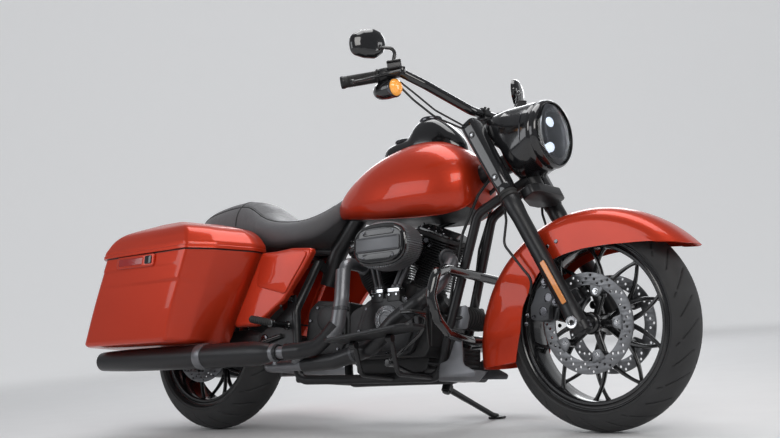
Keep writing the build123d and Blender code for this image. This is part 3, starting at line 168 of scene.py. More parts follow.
def rounded_path(points, bend, steps=7):
    """Points of a route whose corners are arcs of that radius, or of one radius for each corner."""
    points = [Vector(p) for p in points]
    bends = list(bend) if isinstance(bend, (list, tuple)) else [bend] * (len(points) - 2)
    path = [points[0]]
    for before, corner, after, radius in zip(points, points[1:], points[2:], bends):
        back, ahead = (before - corner).normalized(), (after - corner).normalized()
        half = 0.5 * back.angle(ahead)
        if half > radians(89.5):
            path.append(corner)
            continue
        reach = min(radius / tan(half), 0.49 * (before - corner).length, 0.49 * (after - corner).length)
        radius = reach * tan(half)
        centre = corner + (back + ahead).normalized() * (radius / sin(half))
        start, end = corner + back * reach, corner + ahead * reach
        for i in range(steps + 1):
            path.append(centre + (start - centre).slerp(end - centre, i / steps) * radius)
    path.append(points[-1])
    return path


def tube(points, radius, bend=30, sides=18, steps=7, flat=1.0):
    """Round bar along a bent route; radius may be one for each end, and flat squashes its second axis."""
    path = rounded_path(points, bend, steps)
    lengths = [0.0]
    for a, b in zip(path, path[1:]):
        lengths.append(lengths[-1] + (b - a).length)
    ends = radius if isinstance(radius, (list, tuple)) else (radius, radius)
    rings = []
    aheads = headings(path)
    normal = frame_at(path[0], aheads[0]).col[0].to_3d()
    for point, ahead, length in zip(path, aheads, lengths):
        normal = (normal - ahead * normal.dot(ahead)).normalized()
        across = ahead.cross(normal)
        r = ends[0] + (ends[1] - ends[0]) * length / lengths[-1]
        rings.append([point + (normal * cos(a) + across * sin(a) * flat) * r for a in around(sides)])
    return skin(rings)


def rounded_outline(corners, radii, steps=5):
    """Closed outline of (x, y) corners, each rounded by its own radius, with steps + 1 points for each."""
    count = len(corners)
    outline = []
    for i in range(count):
        before, here, after = (Vector((*corners[(i + k) % count], 0)) for k in (-1, 0, 1))
        back, ahead = (before - here).normalized(), (after - here).normalized()
        half = min(0.5 * back.angle(ahead), radians(89.5))
        radius = radii[i] if isinstance(radii, (list, tuple)) else radii
        reach = min(radius / tan(half), 0.45 * (before - here).length, 0.45 * (after - here).length)
        radius = reach * tan(half)
        centre = here + (back + ahead).normalized() * (radius / sin(half))
        start, end = here + back * reach - centre, here + ahead * reach - centre
        for k in range(steps + 1):
            point = centre + start.slerp(end, k / steps) * radius
            outline.append((point.x, point.y))
    return outline


def rectangle(half_x, half_y, corner, steps=5, centre=(0, 0)):
    """Rounded rectangle about its centre."""
    x, y = centre
    corners = [(x - half_x, y - half_y), (x + half_x, y - half_y), (x + half_x, y + half_y),
               (x - half_x, y + half_y)]
    return rounded_outline(corners, corner, steps)


def slab(outline, matrix, thickness, holes=(), edge=0.0):
    """Flat piece of an outline with holes, with rounded edges; local z runs from 0 to thickness."""
    curve = bpy.data.curves.new("outline", "CURVE")
    curve.dimensions = "2D"
    curve.fill_mode = "BOTH"
    curve.extrude = max(thickness / 2 - edge, 0.01)
    curve.bevel_depth = edge
    curve.bevel_resolution = 2 if edge else 0
    curve.offset = -edge
    for loop in (outline, *holes):
        spline = curve.splines.new("POLY")
        spline.points.add(len(loop) - 1)
        for point, (x, y) in zip(spline.points, loop):
            point.co = (x, y, 0, 1)
        spline.use_cyclic_u = True
    holder = bpy.data.objects.new("outline", curve)
    mesh = bpy.data.meshes.new_from_object(holder)
    points = np.array([tuple(v.co) for v in mesh.vertices]) + np.array((0, 0, thickness / 2))
    faces = [tuple(polygon.vertices) for polygon in mesh.polygons]
    bpy.data.objects.remove(holder)
    bpy.data.curves.remove(curve)
    bpy.data.meshes.remove(mesh)
    return moved((points, faces), matrix)


def circle(radius, centre=(0, 0), count=32):
    return [(centre[0] + radius * cos(a), centre[1] + radius * sin(a)) for a in around(count)]


def oval(half_x, half_y, power=2.0, count=48):
    """Superellipse outline."""
    points = []
    for a in around(count):
        c, s = cos(a), sin(a)
        points.append((half_x * copysign(abs(c) ** (2 / power), c),
                       half_y * copysign(abs(s) ** (2 / power), s)))
    return points


def box(centre, size, edge=2.0, matrix=None):
    """Block with rounded edges about its centre."""
    x, y, z = (s / 2 for s in size)
    place = (matrix or Matrix()) @ Matrix.Translation(Vector(centre) - Vector((0, 0, z)))
    corner = min(edge * 1.5, 0.45 * min(size[0], size[1]))
    return slab(rectangle(x, y, corner, 3), place, 2 * z, edge=min(edge, 0.4 * size[2]))


def bolt(point, direction, radius, tall):
    """Socket-head screw standing on a face."""
    hollow = 0.52 * radius
    return lathe([(radius, -2), (radius, tall - 0.18 * radius), (0.86 * radius, tall), (hollow, tall),
                  (0.9 * hollow, 0.45 * tall), (0, 0.4 * tall)], frame_at(point, direction), 14)


def bolts(points, direction, radius, tall):
    return [bolt(point, direction, radius, tall) for point in points]


def acorn(point, direction, radius, tall):
    """Hexagonal bolt head on its washer."""
    place = frame_at(point, direction)
    washer = lathe([(1.35 * radius, -1), (1.35 * radius, 1.2), (0, 1.2)], place, 18)
    return joined(washer, lathe([(radius, 1), (radius, tall - 1.2), (0.82 * radius, tall), (0, tall)],
                                place, 6))


def smooth(values, where, at):
    """Value between control points, with no corners."""
    where, values = list(where), list(values)
    i = max(0, min(len(where) - 2, int(np.searchsorted(where, at)) - 1))
    span = where[i + 1] - where[i]
    t = (at - where[i]) / span
    before = values[max(i - 1, 0)]
    after = values[min(i + 2, len(values) - 1)]
    slope_a = (values[i + 1] - before) / (where[i + 1] - where[max(i - 1, 0)]) * span
    slope_b = (after - values[i]) / (where[min(i + 2, len(where) - 1)] - where[i]) * span
    t2, t3 = t * t, t * t * t
    return ((2 * t3 - 3 * t2 + 1) * values[i] + (t3 - 2 * t2 + t) * slope_a
            + (-2 * t3 + 3 * t2) * values[i + 1] + (t3 - t2) * slope_b)


def ease(low, high, value):
    """0 below low, 1 above high, smooth between."""
    t = min(1.0, max(0.0, (value - low) / (high - low)))
    return t * t * (3 - 2 * t)


# ---- making pieces
def piece(name, shape, material, body="chassis", replaces=(), corner=38.0, rounded=0, bevel=0.0,
          thick=0.0):
    """Object of that shape riding on a body. corner is the sharpest angle shaded smooth and rounded the count
    of subdivisions. bevel is the millimetres taken off sharp edges, thick those of a wall grown inwards on an
    open surface."""
    points, faces = shape
    place = STEERED if body in STEERED_BODIES else PARKED
    mesh = bpy.data.meshes.new(name)
    mesh.from_pydata([place @ Vector(p) for p in points], [], faces)
    mesh.validate()
    work = bmesh.new()
    work.from_mesh(mesh)
    bmesh.ops.remove_doubles(work, verts=work.verts, dist=2e-6)
    bmesh.ops.dissolve_degenerate(work, edges=work.edges, dist=1e-6)
    bmesh.ops.recalc_face_normals(work, faces=work.faces)
    work.to_mesh(mesh)
    work.free()
    mesh.shade_smooth()
    if not rounded:
        mesh.set_sharp_from_angle(angle=radians(corner))
    mesh.materials.append(material)
    made = bpy.data.objects.new(name, mesh)
    bpy.context.scene.collection.objects.link(made)
    if thick:
        wall = made.modifiers.new("wall", "SOLIDIFY")
        wall.thickness = thick * 0.001
        wall.offset = -1
        wall.use_even_offset = True
    if bevel:
        soft = made.modifiers.new("edges", "BEVEL")
        soft.width = bevel * 0.001
        soft.segments = 2
        soft.limit_method = "ANGLE"
        soft.angle_limit = radians(corner)
    if rounded:
        soft = made.modifiers.new("rounded", "SUBSURF")
        soft.levels = soft.render_levels = rounded
    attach(made, body)
    if replaces:
        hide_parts(*([replaces] if isinstance(replaces, str) else replaces))
    return made


# ---- shared surface effects
def effect(name, inputs, outputs):
    """Empty node group with those sockets; returns the group, its input node and its output node."""
    group = bpy.data.node_groups.new(name, "ShaderNodeTree")
    for label, kind, value in inputs:
        socket = group.interface.new_socket(label, in_out="INPUT", socket_type=kind)
        socket.default_value = value
    for label, kind in outputs:
        group.interface.new_socket(label, in_out="OUTPUT", socket_type=kind)
    return group, group.nodes.new("NodeGroupInput"), group.nodes.new("NodeGroupOutput")


FLOAT, COLOUR, VECTOR = "NodeSocketFloat", "NodeSocketColor", "NodeSocketVector"


def noise(group, scale, detail, stretch=None):
    """Noise in the object's own space, scaled by a socket."""
    place = group.nodes.new("ShaderNodeTexCoord")
    texture = group.nodes.new("ShaderNodeTexNoise")
    texture.inputs["Detail"].default_value = detail
    source = place.outputs["Object"]
    if stretch:
        mapping = group.nodes.new("ShaderNodeMapping")
        mapping.inputs["Scale"].default_value = stretch
        group.links.new(source, mapping.inputs["Vector"])
        source = mapping.outputs["Vector"]
    group.links.new(source, texture.inputs["Vector"])
    group.links.new(scale, texture.inputs["Scale"])
    return texture


def shade_drift():
    """Two close colours drifting into each other: what keeps a coat from looking flat."""
    group, source, result = effect("shade_drift", [("Scale", FLOAT, 8), ("Colour", COLOUR, (1, 1, 1, 1)),
                                                   ("Other", COLOUR, (1, 1, 1, 1))], [("Colour", COLOUR)])
    texture = noise(group, source.outputs["Scale"], 5)
    mix = group.nodes.new("ShaderNodeMix")
    mix.data_type = "RGBA"
    group.links.new(texture.outputs["Fac"], mix.inputs["Factor"])
    group.links.new(source.outputs["Colour"], mix.inputs["A"])
    group.links.new(source.outputs["Other"], mix.inputs["B"])
    group.links.new(mix.outputs["Result"], result.inputs["Colour"])
    return group


def gloss_drift():
    """Roughness that varies a little over the surface."""
    group, source, result = effect("gloss_drift", [("Scale", FLOAT, 20), ("Low", FLOAT, 0.2),
                                                   ("High", FLOAT, 0.4)], [("Roughness", FLOAT)])
    texture = noise(group, source.outputs["Scale"], 6)
    spread = group.nodes.new("ShaderNodeMapRange")
    spread.inputs["From Min"].default_value = 0.3
    spread.inputs["From Max"].default_value = 0.7
    group.links.new(texture.outputs["Fac"], spread.inputs["Value"])
    group.links.new(source.outputs["Low"], spread.inputs["To Min"])
    group.links.new(source.outputs["High"], spread.inputs["To Max"])
    group.links.new(spread.outputs["Result"], result.inputs["Roughness"])
    return group


def relief(name, scale, strength, distance, pattern):
    """Normal of a relief whose height is pattern(group, scale socket); distance is its depth in metres."""
    group, source, result = effect(name, [("Scale", FLOAT, scale), ("Strength", FLOAT, strength)],
                                   [("Normal", VECTOR)])
    bump = group.nodes.new("ShaderNodeBump")
    bump.inputs["Distance"].default_value = distance
    group.links.new(source.outputs["Strength"], bump.inputs["Strength"])
    group.links.new(pattern(group, source.outputs["Scale"]), bump.inputs["Height"])
    group.links.new(bump.outputs["Normal"], result.inputs["Normal"])
    return group


def cells(group, scale):
    """Cells in the object's own space, scaled by a socket."""
    place = group.nodes.new("ShaderNodeTexCoord")
    texture = group.nodes.new("ShaderNodeTexVoronoi")
    group.links.new(place.outputs["Object"], texture.inputs["Vector"])
    group.links.new(scale, texture.inputs["Scale"])
    return texture


def powder(group, scale):
    """Fine random relief, such as powder coat or moulded rubber."""
    return noise(group, scale, 3).outputs["Fac"]


def scratches(group, scale):
    """Fine straight scratches."""
    return noise(group, scale, 4, stretch=(1, 1, 30)).outputs["Fac"]


def flakes(group, scale):
    """Metal flakes in paint, each cell tilted its own way."""
    return cells(group, scale).outputs["Color"]


def pores(group, scale):
    """Leather pores and fine creases."""
    texture = cells(group, scale)
    texture.feature = "DISTANCE_TO_EDGE"
    edge = group.nodes.new("ShaderNodeMapRange")
    edge.inputs["From Max"].default_value = 0.12
    group.links.new(texture.outputs["Distance"], edge.inputs["Value"])
    return edge.outputs["Result"]


SHADE_DRIFT, GLOSS_DRIFT = shade_drift(), gloss_drift()
FINE_RELIEF = relief("fine_relief", 900, 0.2, 0.0006, powder)
HIDE_GRAIN = relief("hide_grain", 420, 0.35, 0.0007, pores)
FLAKE = relief("flake", 2600, 0.05, 0.0004, flakes)
BRUSHED = relief("brushed", 60, 0.15, 0.0003, scratches)


# ---- finishes
def finish(name, **sockets):
    """Material with a Principled shader whose sockets take those plain values."""
    material = bpy.data.materials.new(name)
    material.use_nodes = True
    shader = material.node_tree.nodes["Principled BSDF"]
    for label, value in sockets.items():
        shader.inputs[label.replace("_", " ")].default_value = value
    return material


def wear(material, group, output, socket, **values):
    """Puts a shared effect into a material with its own values."""
    tree = material.node_tree
    node = tree.nodes.new("ShaderNodeGroup")
    node.node_tree = group
    for label, value in values.items():
        node.inputs[label].default_value = value
    tree.links.new(node.outputs[output], tree.nodes["Principled BSDF"].inputs[socket])


def coat(name, colour, other, low, high, strength=0.0, grain=900, pattern=FINE_RELIEF, drift=(6, 14),
         **sockets):
    """Finish with drifting colour and gloss, and a relief where it has one. drift is the scale of both."""
    material = finish(name, **sockets)
    wear(material, SHADE_DRIFT, "Colour", "Base Color", Scale=drift[0], Colour=(*colour, 1),
         Other=(*other, 1))
    wear(material, GLOSS_DRIFT, "Roughness", "Roughness", Scale=drift[1], Low=low, High=high)
    if strength:
        wear(material, pattern, "Normal", "Normal", Scale=grain, Strength=strength)
    return material


def steel(name, colour, other, low, high, strength):
    return coat(name, colour, other, low, high, strength, 60, BRUSHED, (12, 25), Metallic=1.0)


PAINT = coat("ember_paint", (0.56, 0.042, 0.012), (0.50, 0.034, 0.010), 0.34, 0.40, 0.10, 2600, FLAKE,
             (3, 10), Metallic=0.45, Specular_IOR_Level=0.15, Coat_Weight=0.55, Coat_Roughness=0.03)
LEATHER = coat("seat_leather", (0.085, 0.085, 0.090), (0.110, 0.110, 0.116), 0.42, 0.56, 0.35, 420,
               HIDE_GRAIN, (9, 30), Sheen_Weight=0.15, Sheen_Roughness=0.4)
GLOSS_BLACK = coat("gloss_black", (0.007, 0.007, 0.008), (0.010, 0.010, 0.011), 0.10, 0.16, Coat_Weight=0.6,
                   Coat_Roughness=0.04)
SATIN_BLACK = coat("satin_black", (0.014, 0.014, 0.015), (0.020, 0.020, 0.022), 0.30, 0.40, 0.10,
                   Metallic=0.3)
WRINKLE_BLACK = coat("wrinkle_black", (0.010, 0.010, 0.011), (0.018, 0.018, 0.019), 0.42, 0.58, 0.55, 420)
CAST_GREY = coat("cast_grey", (0.055, 0.057, 0.062), (0.075, 0.077, 0.082), 0.36, 0.48, 0.25, 500,
                 Metallic=0.5)
PIPE_GREY = coat("pipe_ceramic", (0.150, 0.153, 0.163), (0.185, 0.188, 0.200), 0.28, 0.36, 0.12, 1200,
                 Metallic=0.6)
CLEAT_GREY = coat("filter_pleats", (0.230, 0.235, 0.245), (0.300, 0.305, 0.315), 0.40, 0.52, 0.20, 800,
                  Metallic=0.4)
BAR_GREY = coat("brushed_bar", (0.100, 0.102, 0.108), (0.125, 0.127, 0.134), 0.32, 0.40, 0.15, 1300,
                Metallic=0.5)
RIM_BLACK = coat("rim_black", (0.008, 0.008, 0.009), (0.012, 0.012, 0.013), 0.18, 0.26, Coat_Weight=0.4,
                 Coat_Roughness=0.08)
DISC_STEEL = steel("disc_steel", (0.165, 0.168, 0.175), (0.215, 0.218, 0.226), 0.34, 0.46, 0.25)
BRIGHT = steel("polished_steel", (0.62, 0.63, 0.65), (0.70, 0.71, 0.73), 0.10, 0.18, 0.05)
DARK_CHROME = steel("dark_chrome", (0.10, 0.10, 0.11), (0.14, 0.14, 0.15), 0.08, 0.14, 0.02)
RUBBER = coat("moulded_rubber", (0.012, 0.012, 0.012), (0.018, 0.018, 0.018), 0.55, 0.68, 0.35, 1100)
TYRE = coat("tyre_rubber", (0.019, 0.019, 0.020), (0.030, 0.030, 0.031), 0.62, 0.78, 0.30, 700)
HOSE = coat("hose_rubber", (0.010, 0.010, 0.011), (0.014, 0.014, 0.015), 0.38, 0.46, 0.10, 1400)
LENS_RED = coat("red_lens", (0.300, 0.008, 0.006), (0.360, 0.010, 0.008), 0.16, 0.24, 0.5, 420,
                Coat_Weight=0.5)
LENS_AMBER = coat("amber_lens", (0.82, 0.30, 0.035), (0.90, 0.38, 0.060), 0.08, 0.16, Coat_Weight=1.0,
                  Emission_Color=(1.0, 0.46, 0.10, 1), Emission_Strength=0.35)
AMBER_STRIP = coat("amber_reflector", (0.70, 0.24, 0.05), (0.80, 0.30, 0.07), 0.25, 0.35, 0.5, 380,
                   Coat_Weight=0.8)
LAMP_CLEAR = coat("lamp_clear", (0.94, 0.96, 0.99), (0.97, 0.98, 1.0), 0.01, 0.03, Transmission_Weight=1.0,
                  IOR=1.30)
LED_GLOW = coat("led_projector", (0.78, 0.83, 0.88), (0.86, 0.90, 0.95), 0.12, 0.20,
                Emission_Color=(0.85, 0.93, 1, 1), Emission_Strength=0.9)
MIRROR_GLASS = coat("mirror_glass", (0.73, 0.76, 0.78), (0.77, 0.80, 0.82), 0.01, 0.03, Metallic=1.0)
FACE_GLASS = coat("gauge_face", (0.013, 0.014, 0.016), (0.018, 0.019, 0.021), 0.04, 0.07, Coat_Weight=1.0)


# ---- wheels
def wheel_view(centre, y):
    """Side view whose middle is on an axle, at that y."""
    return Matrix.Translation(Vector((centre.x, 0, centre.z))) @ side_view(y)


def axle_line(centre):
    """Local z along the axle, to the right, from the wheel's middle plane."""
    return wheel_view(centre, 0)


PITCH_STEPS = 32


def tyre(centre, radius, crown, half, flange, rim_half, pitches):
    """Tyre with slanted curved grooves on both shoulders and ribs round the sidewalls."""
    arc = [radians(a) for a in np.linspace(-72, 72, 49)]
    profile = [(radius - crown + crown * cos(a), max(-half, min(half, crown * sin(a)))) for a in arc]
    tall = profile[-1][0] - flange
    wall = [(flange + share * tall, y) for share, y in (
        (0.70, half + 0.3), (0.62, half + 1.2), (0.56, half + 0.3), (0.32, 0.97 * half),
        (0.24, 0.955 * half + 1.4),
        (0.17, 0.93 * half))]
    wall += [(flange + 3, 0.5 * (half + rim_half)), (flange + 0.5, rim_half), (flange - 2, rim_half - 6)]
    left = [(r, -y) for r, y in reversed(wall)]
    section = left + profile + wall
    first, last = len(left), len(left) + len(profile)
    rings = []
    for step in range(pitches * PITCH_STEPS):
        turn = 2 * pi * step / (pitches * PITCH_STEPS)
        ring = []
        for index, (r, y) in enumerate(section):
            if first <= index < last:
                a = degrees(arc[index - first])
                side = 0.5 if a > 0 else 0.0
                reach = abs(a)
                path = side + 0.011 * reach + 0.00012 * reach * reach
                phase = (step / PITCH_STEPS + path) % 1.0
                gap = min(phase, 1 - phase) * 2 * pi * radius / pitches
                short = (step // PITCH_STEPS + (0 if a > 0 else 1)) % 2
                outer = 66 if short else 54
                inside = ease(5 + 9 * short, 9 + 9 * short, reach) * (1 - ease(outer - 4, outer, reach))
                depth = 4.2 * (1 - ease(2.0, 4.6, gap)) * inside
                r, y = r - depth * cos(radians(a)), y - depth * sin(radians(a))
            ring.append((r * cos(turn), r * sin(turn), -y))
        rings.append(ring)
    points, faces = skin(rings, caps=False, loop=True)
    # the section is open at the beads, so the strip that would close it goes
    count = len(section)
    return moved((points, [face for k, face in enumerate(faces) if k % count != count - 1]),
                 axle_line(centre))


def rim_barrel(centre, flange, half):
    """Drop-centre rim with a rolled double lip on each side."""
    well = flange - 20
    lip = [(well - 8, half - 3), (well - 5, half + 1), (well + 2, half + 1.5), (well + 5, half - 2),
           (flange - 8, half - 3), (flange - 5, half + 0.5), (flange - 1.5, half + 1.5),
           (flange + 0.2, half - 0.5), (flange - 0.5, half - 6), (flange - 12, half - 9), (well, 16)]
    outline = [(r, -y) for r, y in lip] + [(r, y) for r, y in reversed(lip)] + [(well - 10, 12),
                                                                                (well - 10, -12)]
    return lathe(outline, axle_line(centre), 160, loop=True)


FIFTH = 72
SPOKE_TURN = 22
LUG_CIRCLE = 97


def spoke(centre, side, base, turn, radii, y_hub, y_rim, wide):
    """One arm of a forked spoke: out with its twin to the fork, then away to the rim."""
    start, fork, end = radii
    rings = []
    for radius in np.linspace(start, end, 15):
        along = ease(start, end, radius)
        away = max(0.0, radius - fork) / (end - fork)
        angle = radians(base + copysign(2.4 * start / max(radius, start), turn) * (1 - away) + turn * away)
        half = wide * (1.0 - 0.34 * ease(fork - 20, end - 30, radius) + 0.55 * ease(end - 18, end, radius))
        deep = 10 - 3.0 * along
        y = side * (y_hub + (y_rim - y_hub) * along)
        out = Vector((cos(angle), 0, sin(angle)))
        across = Vector((-sin(angle), 0, cos(angle)))
        middle = Vector((centre.x, y, centre.z)) + out * radius
        section = [(half, -0.5 * deep), (half, 0.35 * deep), (0.55 * half, deep), (-0.55 * half, deep),
                   (-half, 0.35 * deep), (-half, -0.5 * deep), (-0.5 * half, -deep), (0.5 * half, -deep)]
        rings.append([middle + across * a + Vector((0, side, 0)) * b for a, b in section])
    return skin(rings)


def spoke_set(centre, first_angle, hub_r, fork, rim_r, y_hub, y_rim, wide):
    """Five forked spokes on each side, those on the left half a pitch on."""
    return joined(*[spoke(centre, side, first_angle + FIFTH * (index + (0.5 if side > 0 else 0)), way,
                          (0.82 * hub_r, fork, rim_r), y_hub, y_rim, wide) for side in (-1, 1)
                    for index in range(5) for way in (-SPOKE_TURN, SPOKE_TURN)])


def polar(radius, angle):
    """Point at that radius and that angle in degrees."""
    return radius * cos(radians(angle)), radius * sin(radians(angle))


DISC_THICK = 5.0


def disc(centre, y, first_angle):
    """Drilled brake disc with five lugs."""
    place = wheel_view(centre, y + DISC_THICK / 2)
    holes = [circle(112, count=96)]
    for index in range(60):
        radius = (120, 131, 142, 131)[index % 4]
        holes.append(circle(4.2, polar(radius, first_angle + 6 * index), 12))
    shapes = [slab(circle(150, count=144), place, DISC_THICK, holes, edge=0.5)]
    lug = rounded_outline([(83, -13), (118, -24), (118, 24), (83, 13)], [9, 2, 2, 9])
    for index in range(5):
        turn = Matrix.Rotation(radians(first_angle + FIFTH * index), 4, "Z")
        shapes.append(slab(lug, place @ turn, DISC_THICK, [circle(6, (LUG_CIRCLE, 0), 16)], edge=0.6))
    return joined(*shapes)


def lug_points(centre, y, first_angle):
    return [(centre.x + x, y, centre.z + z) for x, z in (polar(LUG_CIRCLE, first_angle + FIFTH * index)
                                                         for index in range(5))]


def disc_bolts(centre, y, side, first_angle):
    return joined(*[acorn(point, (0, side, 0), 7.2, 8) for point in lug_points(centre, y, first_angle)])


def valve(centre, radius, angle):
    x, z = polar(radius, angle)
    inner = Vector((centre.x + x, 0, centre.z + z))
    out = Vector((x, 0, z)).normalized()
    return joined(rod(inner, inner - out * 26, 3.2, 12), rod(inner - out * 22, inner - out * 34, 4.2, 10))


LUG_ANGLE = -2.0
FRONT_R, FRONT_FLANGE, FRONT_RIM_HALF = 318.0, 256.0, 50.0
REAR_R, REAR_FLANGE, REAR_RIM_HALF = 327.0, 243.0, 70.0

piece("front_tyre_tread", tyre(FRONT_AXLE, FRONT_R, 66, 64.2, FRONT_FLANGE, FRONT_RIM_HALF, 26), TYRE,
      "front_wheel", "front_tyre", 50)
hub = lathe([(13, -66), (24, -66), (30, -62), (34, -54), (34, -46), (27, -38), (24, 0), (27, 38), (34, 46),
             (34, 54), (30, 62), (24, 66), (13, 66)], axle_line(FRONT_AXLE), 56, loop=True)
bosses = [rod((x, side * 22, z), (x, y, z), 12) for side in (-1, 1)
          for x, y, z in lug_points(FRONT_AXLE, side * 65.2, LUG_ANGLE + (FIFTH / 2 if side > 0 else 0))]
piece("front_rim_cast", joined(rim_barrel(FRONT_AXLE, FRONT_FLANGE, FRONT_RIM_HALF), hub, *bosses,
                               spoke_set(FRONT_AXLE, LUG_ANGLE, 34, 100, 231, 30, 17, 8.6),
                               valve(FRONT_AXLE, 228, LUG_ANGLE + 126)), RIM_BLACK, "front_wheel",
      "front_rim", 42, bevel=0.8)
piece("front_discs_drilled", joined(disc(FRONT_AXLE, -68, LUG_ANGLE), disc(FRONT_AXLE, 68, LUG_ANGLE + 36)),
      DISC_STEEL, "front_wheel", "front_discs", 30)
piece("front_disc_bolts", joined(disc_bolts(FRONT_AXLE, -70.4, -1, LUG_ANGLE),
                                 disc_bolts(FRONT_AXLE, 70.4, 1, LUG_ANGLE + 36)), BRIGHT, "front_wheel",
      bevel=0.4)

piece("rear_tyre_tread", tyre(REAR_AXLE, REAR_R, 92, 89.2, REAR_FLANGE, REAR_RIM_HALF, 26), TYRE,
      "rear_wheel", "rear_tyre", 50)
rear_hub_shape = mirrored(lathe([(13, -86), (86, -86), (88, -80), (40, -72), (34, -50), (30, 0), (38, 60),
                                 (42, 84), (44, 92), (13, 92)], axle_line(REAR_AXLE), 56, loop=True))
piece("rear_rim_cast", joined(rim_barrel(REAR_AXLE, REAR_FLANGE, REAR_RIM_HALF), rear_hub_shape,
                              spoke_set(REAR_AXLE, LUG_ANGLE + 20, 42, 100, 218, 38, 28, 9.6),
                              valve(REAR_AXLE, 215, 100)), RIM_BLACK, "rear_wheel", "rear_rim",
      42, bevel=0.8)
piece("rear_disc_drilled",
      joined(disc(REAR_AXLE, -92, LUG_ANGLE), slab(circle(90, count=48), wheel_view(REAR_AXLE, -89.5), 5,
                                                   [circle(14, count=32)], edge=0.6)), DISC_STEEL,
      "rear_wheel", "rear_disc", 30)
piece("rear_disc_bolts", disc_bolts(REAR_AXLE, -94.4, -1, LUG_ANGLE), BRIGHT, "rear_wheel", bevel=0.4)


def toothed_pulley():
    """Belt pulley with its teeth, five round windows and hub."""
    pitch = 360 / 66
    teeth = [polar(radius, pitch * index + pitch * turn) for index in range(66)
             for turn, radius in ((-0.36, 109.2), (-0.24, 112), (0.24, 112), (0.36, 109.2))]
    windows = [circle(19, polar(66, FIFTH * index + 18), 28) for index in range(5)]
    band = slab(teeth, wheel_view(REAR_AXLE, 119.2), 24.6, [circle(98, count=60)])
    web = slab(circle(99, count=72), wheel_view(REAR_AXLE, 105), 8, windows + [circle(14, count=24)],
               edge=1)
    flanges = [slab(circle(116, count=96), wheel_view(REAR_AXLE, y), 1.6, [circle(97, count=60)])
               for y in (94.8, 120.9)]
    boss = lathe([(13, 94), (40, 94), (40, 104), (32, 120), (13, 120)], axle_line(REAR_AXLE), 40, loop=True)
    return joined(band, web, *flanges, mirrored(boss))


piece("rear_pulley_toothed", toothed_pulley(), CAST_GREY, "rear_wheel", "rear_pulley", 30)


# ---- belt
DRIVE_PULLEY = Vector((478, 0, 318))


def belt_loop():
    """Belt round both pulleys: a plain band with its outer edges eased, drawn without teeth."""
    drive = DRIVE_PULLEY
    radius_rear, radius_drive = 112.4, 56.4
    line = atan2(drive.z - REAR_AXLE.z, drive.x)
    wrap = acos((radius_rear - radius_drive) / hypot(drive.x, drive.z - REAR_AXLE.z))
    path = [(REAR_AXLE, a, radius_rear) for a in np.linspace(line + wrap, line + 2 * pi - wrap, 60)]
    path += [(drive, a, radius_drive) for a in np.linspace(line - wrap, line + wrap, 40)]
    rings = []
    for centre, a, radius in path:
        out = Vector((cos(a), 0, sin(a)))
        base = Vector((centre.x, 0, centre.z)) + out * radius
        rings.append([base + out * h + Vector((0, y, 0)) for h, y in ((0, 95.2), (5.4, 95.2), (5.8, 96),
                                                                      (5.8, 118), (5.4, 118.8),
                                                                      (0, 118.8))])
    return skin(rings, loop=True)


piece("drive_belt_loop", belt_loop(), RUBBER, "chassis", "drive_belt", 30)


# ---- fork and front brake
def fork_ring(distance, y, half_y, half_x, ahead=0.0, power=2.0, count=40):
    """Section across a fork leg."""
    return [on_fork(distance, y + a, ahead + b) for a, b in oval(half_y, half_x, power, count)]


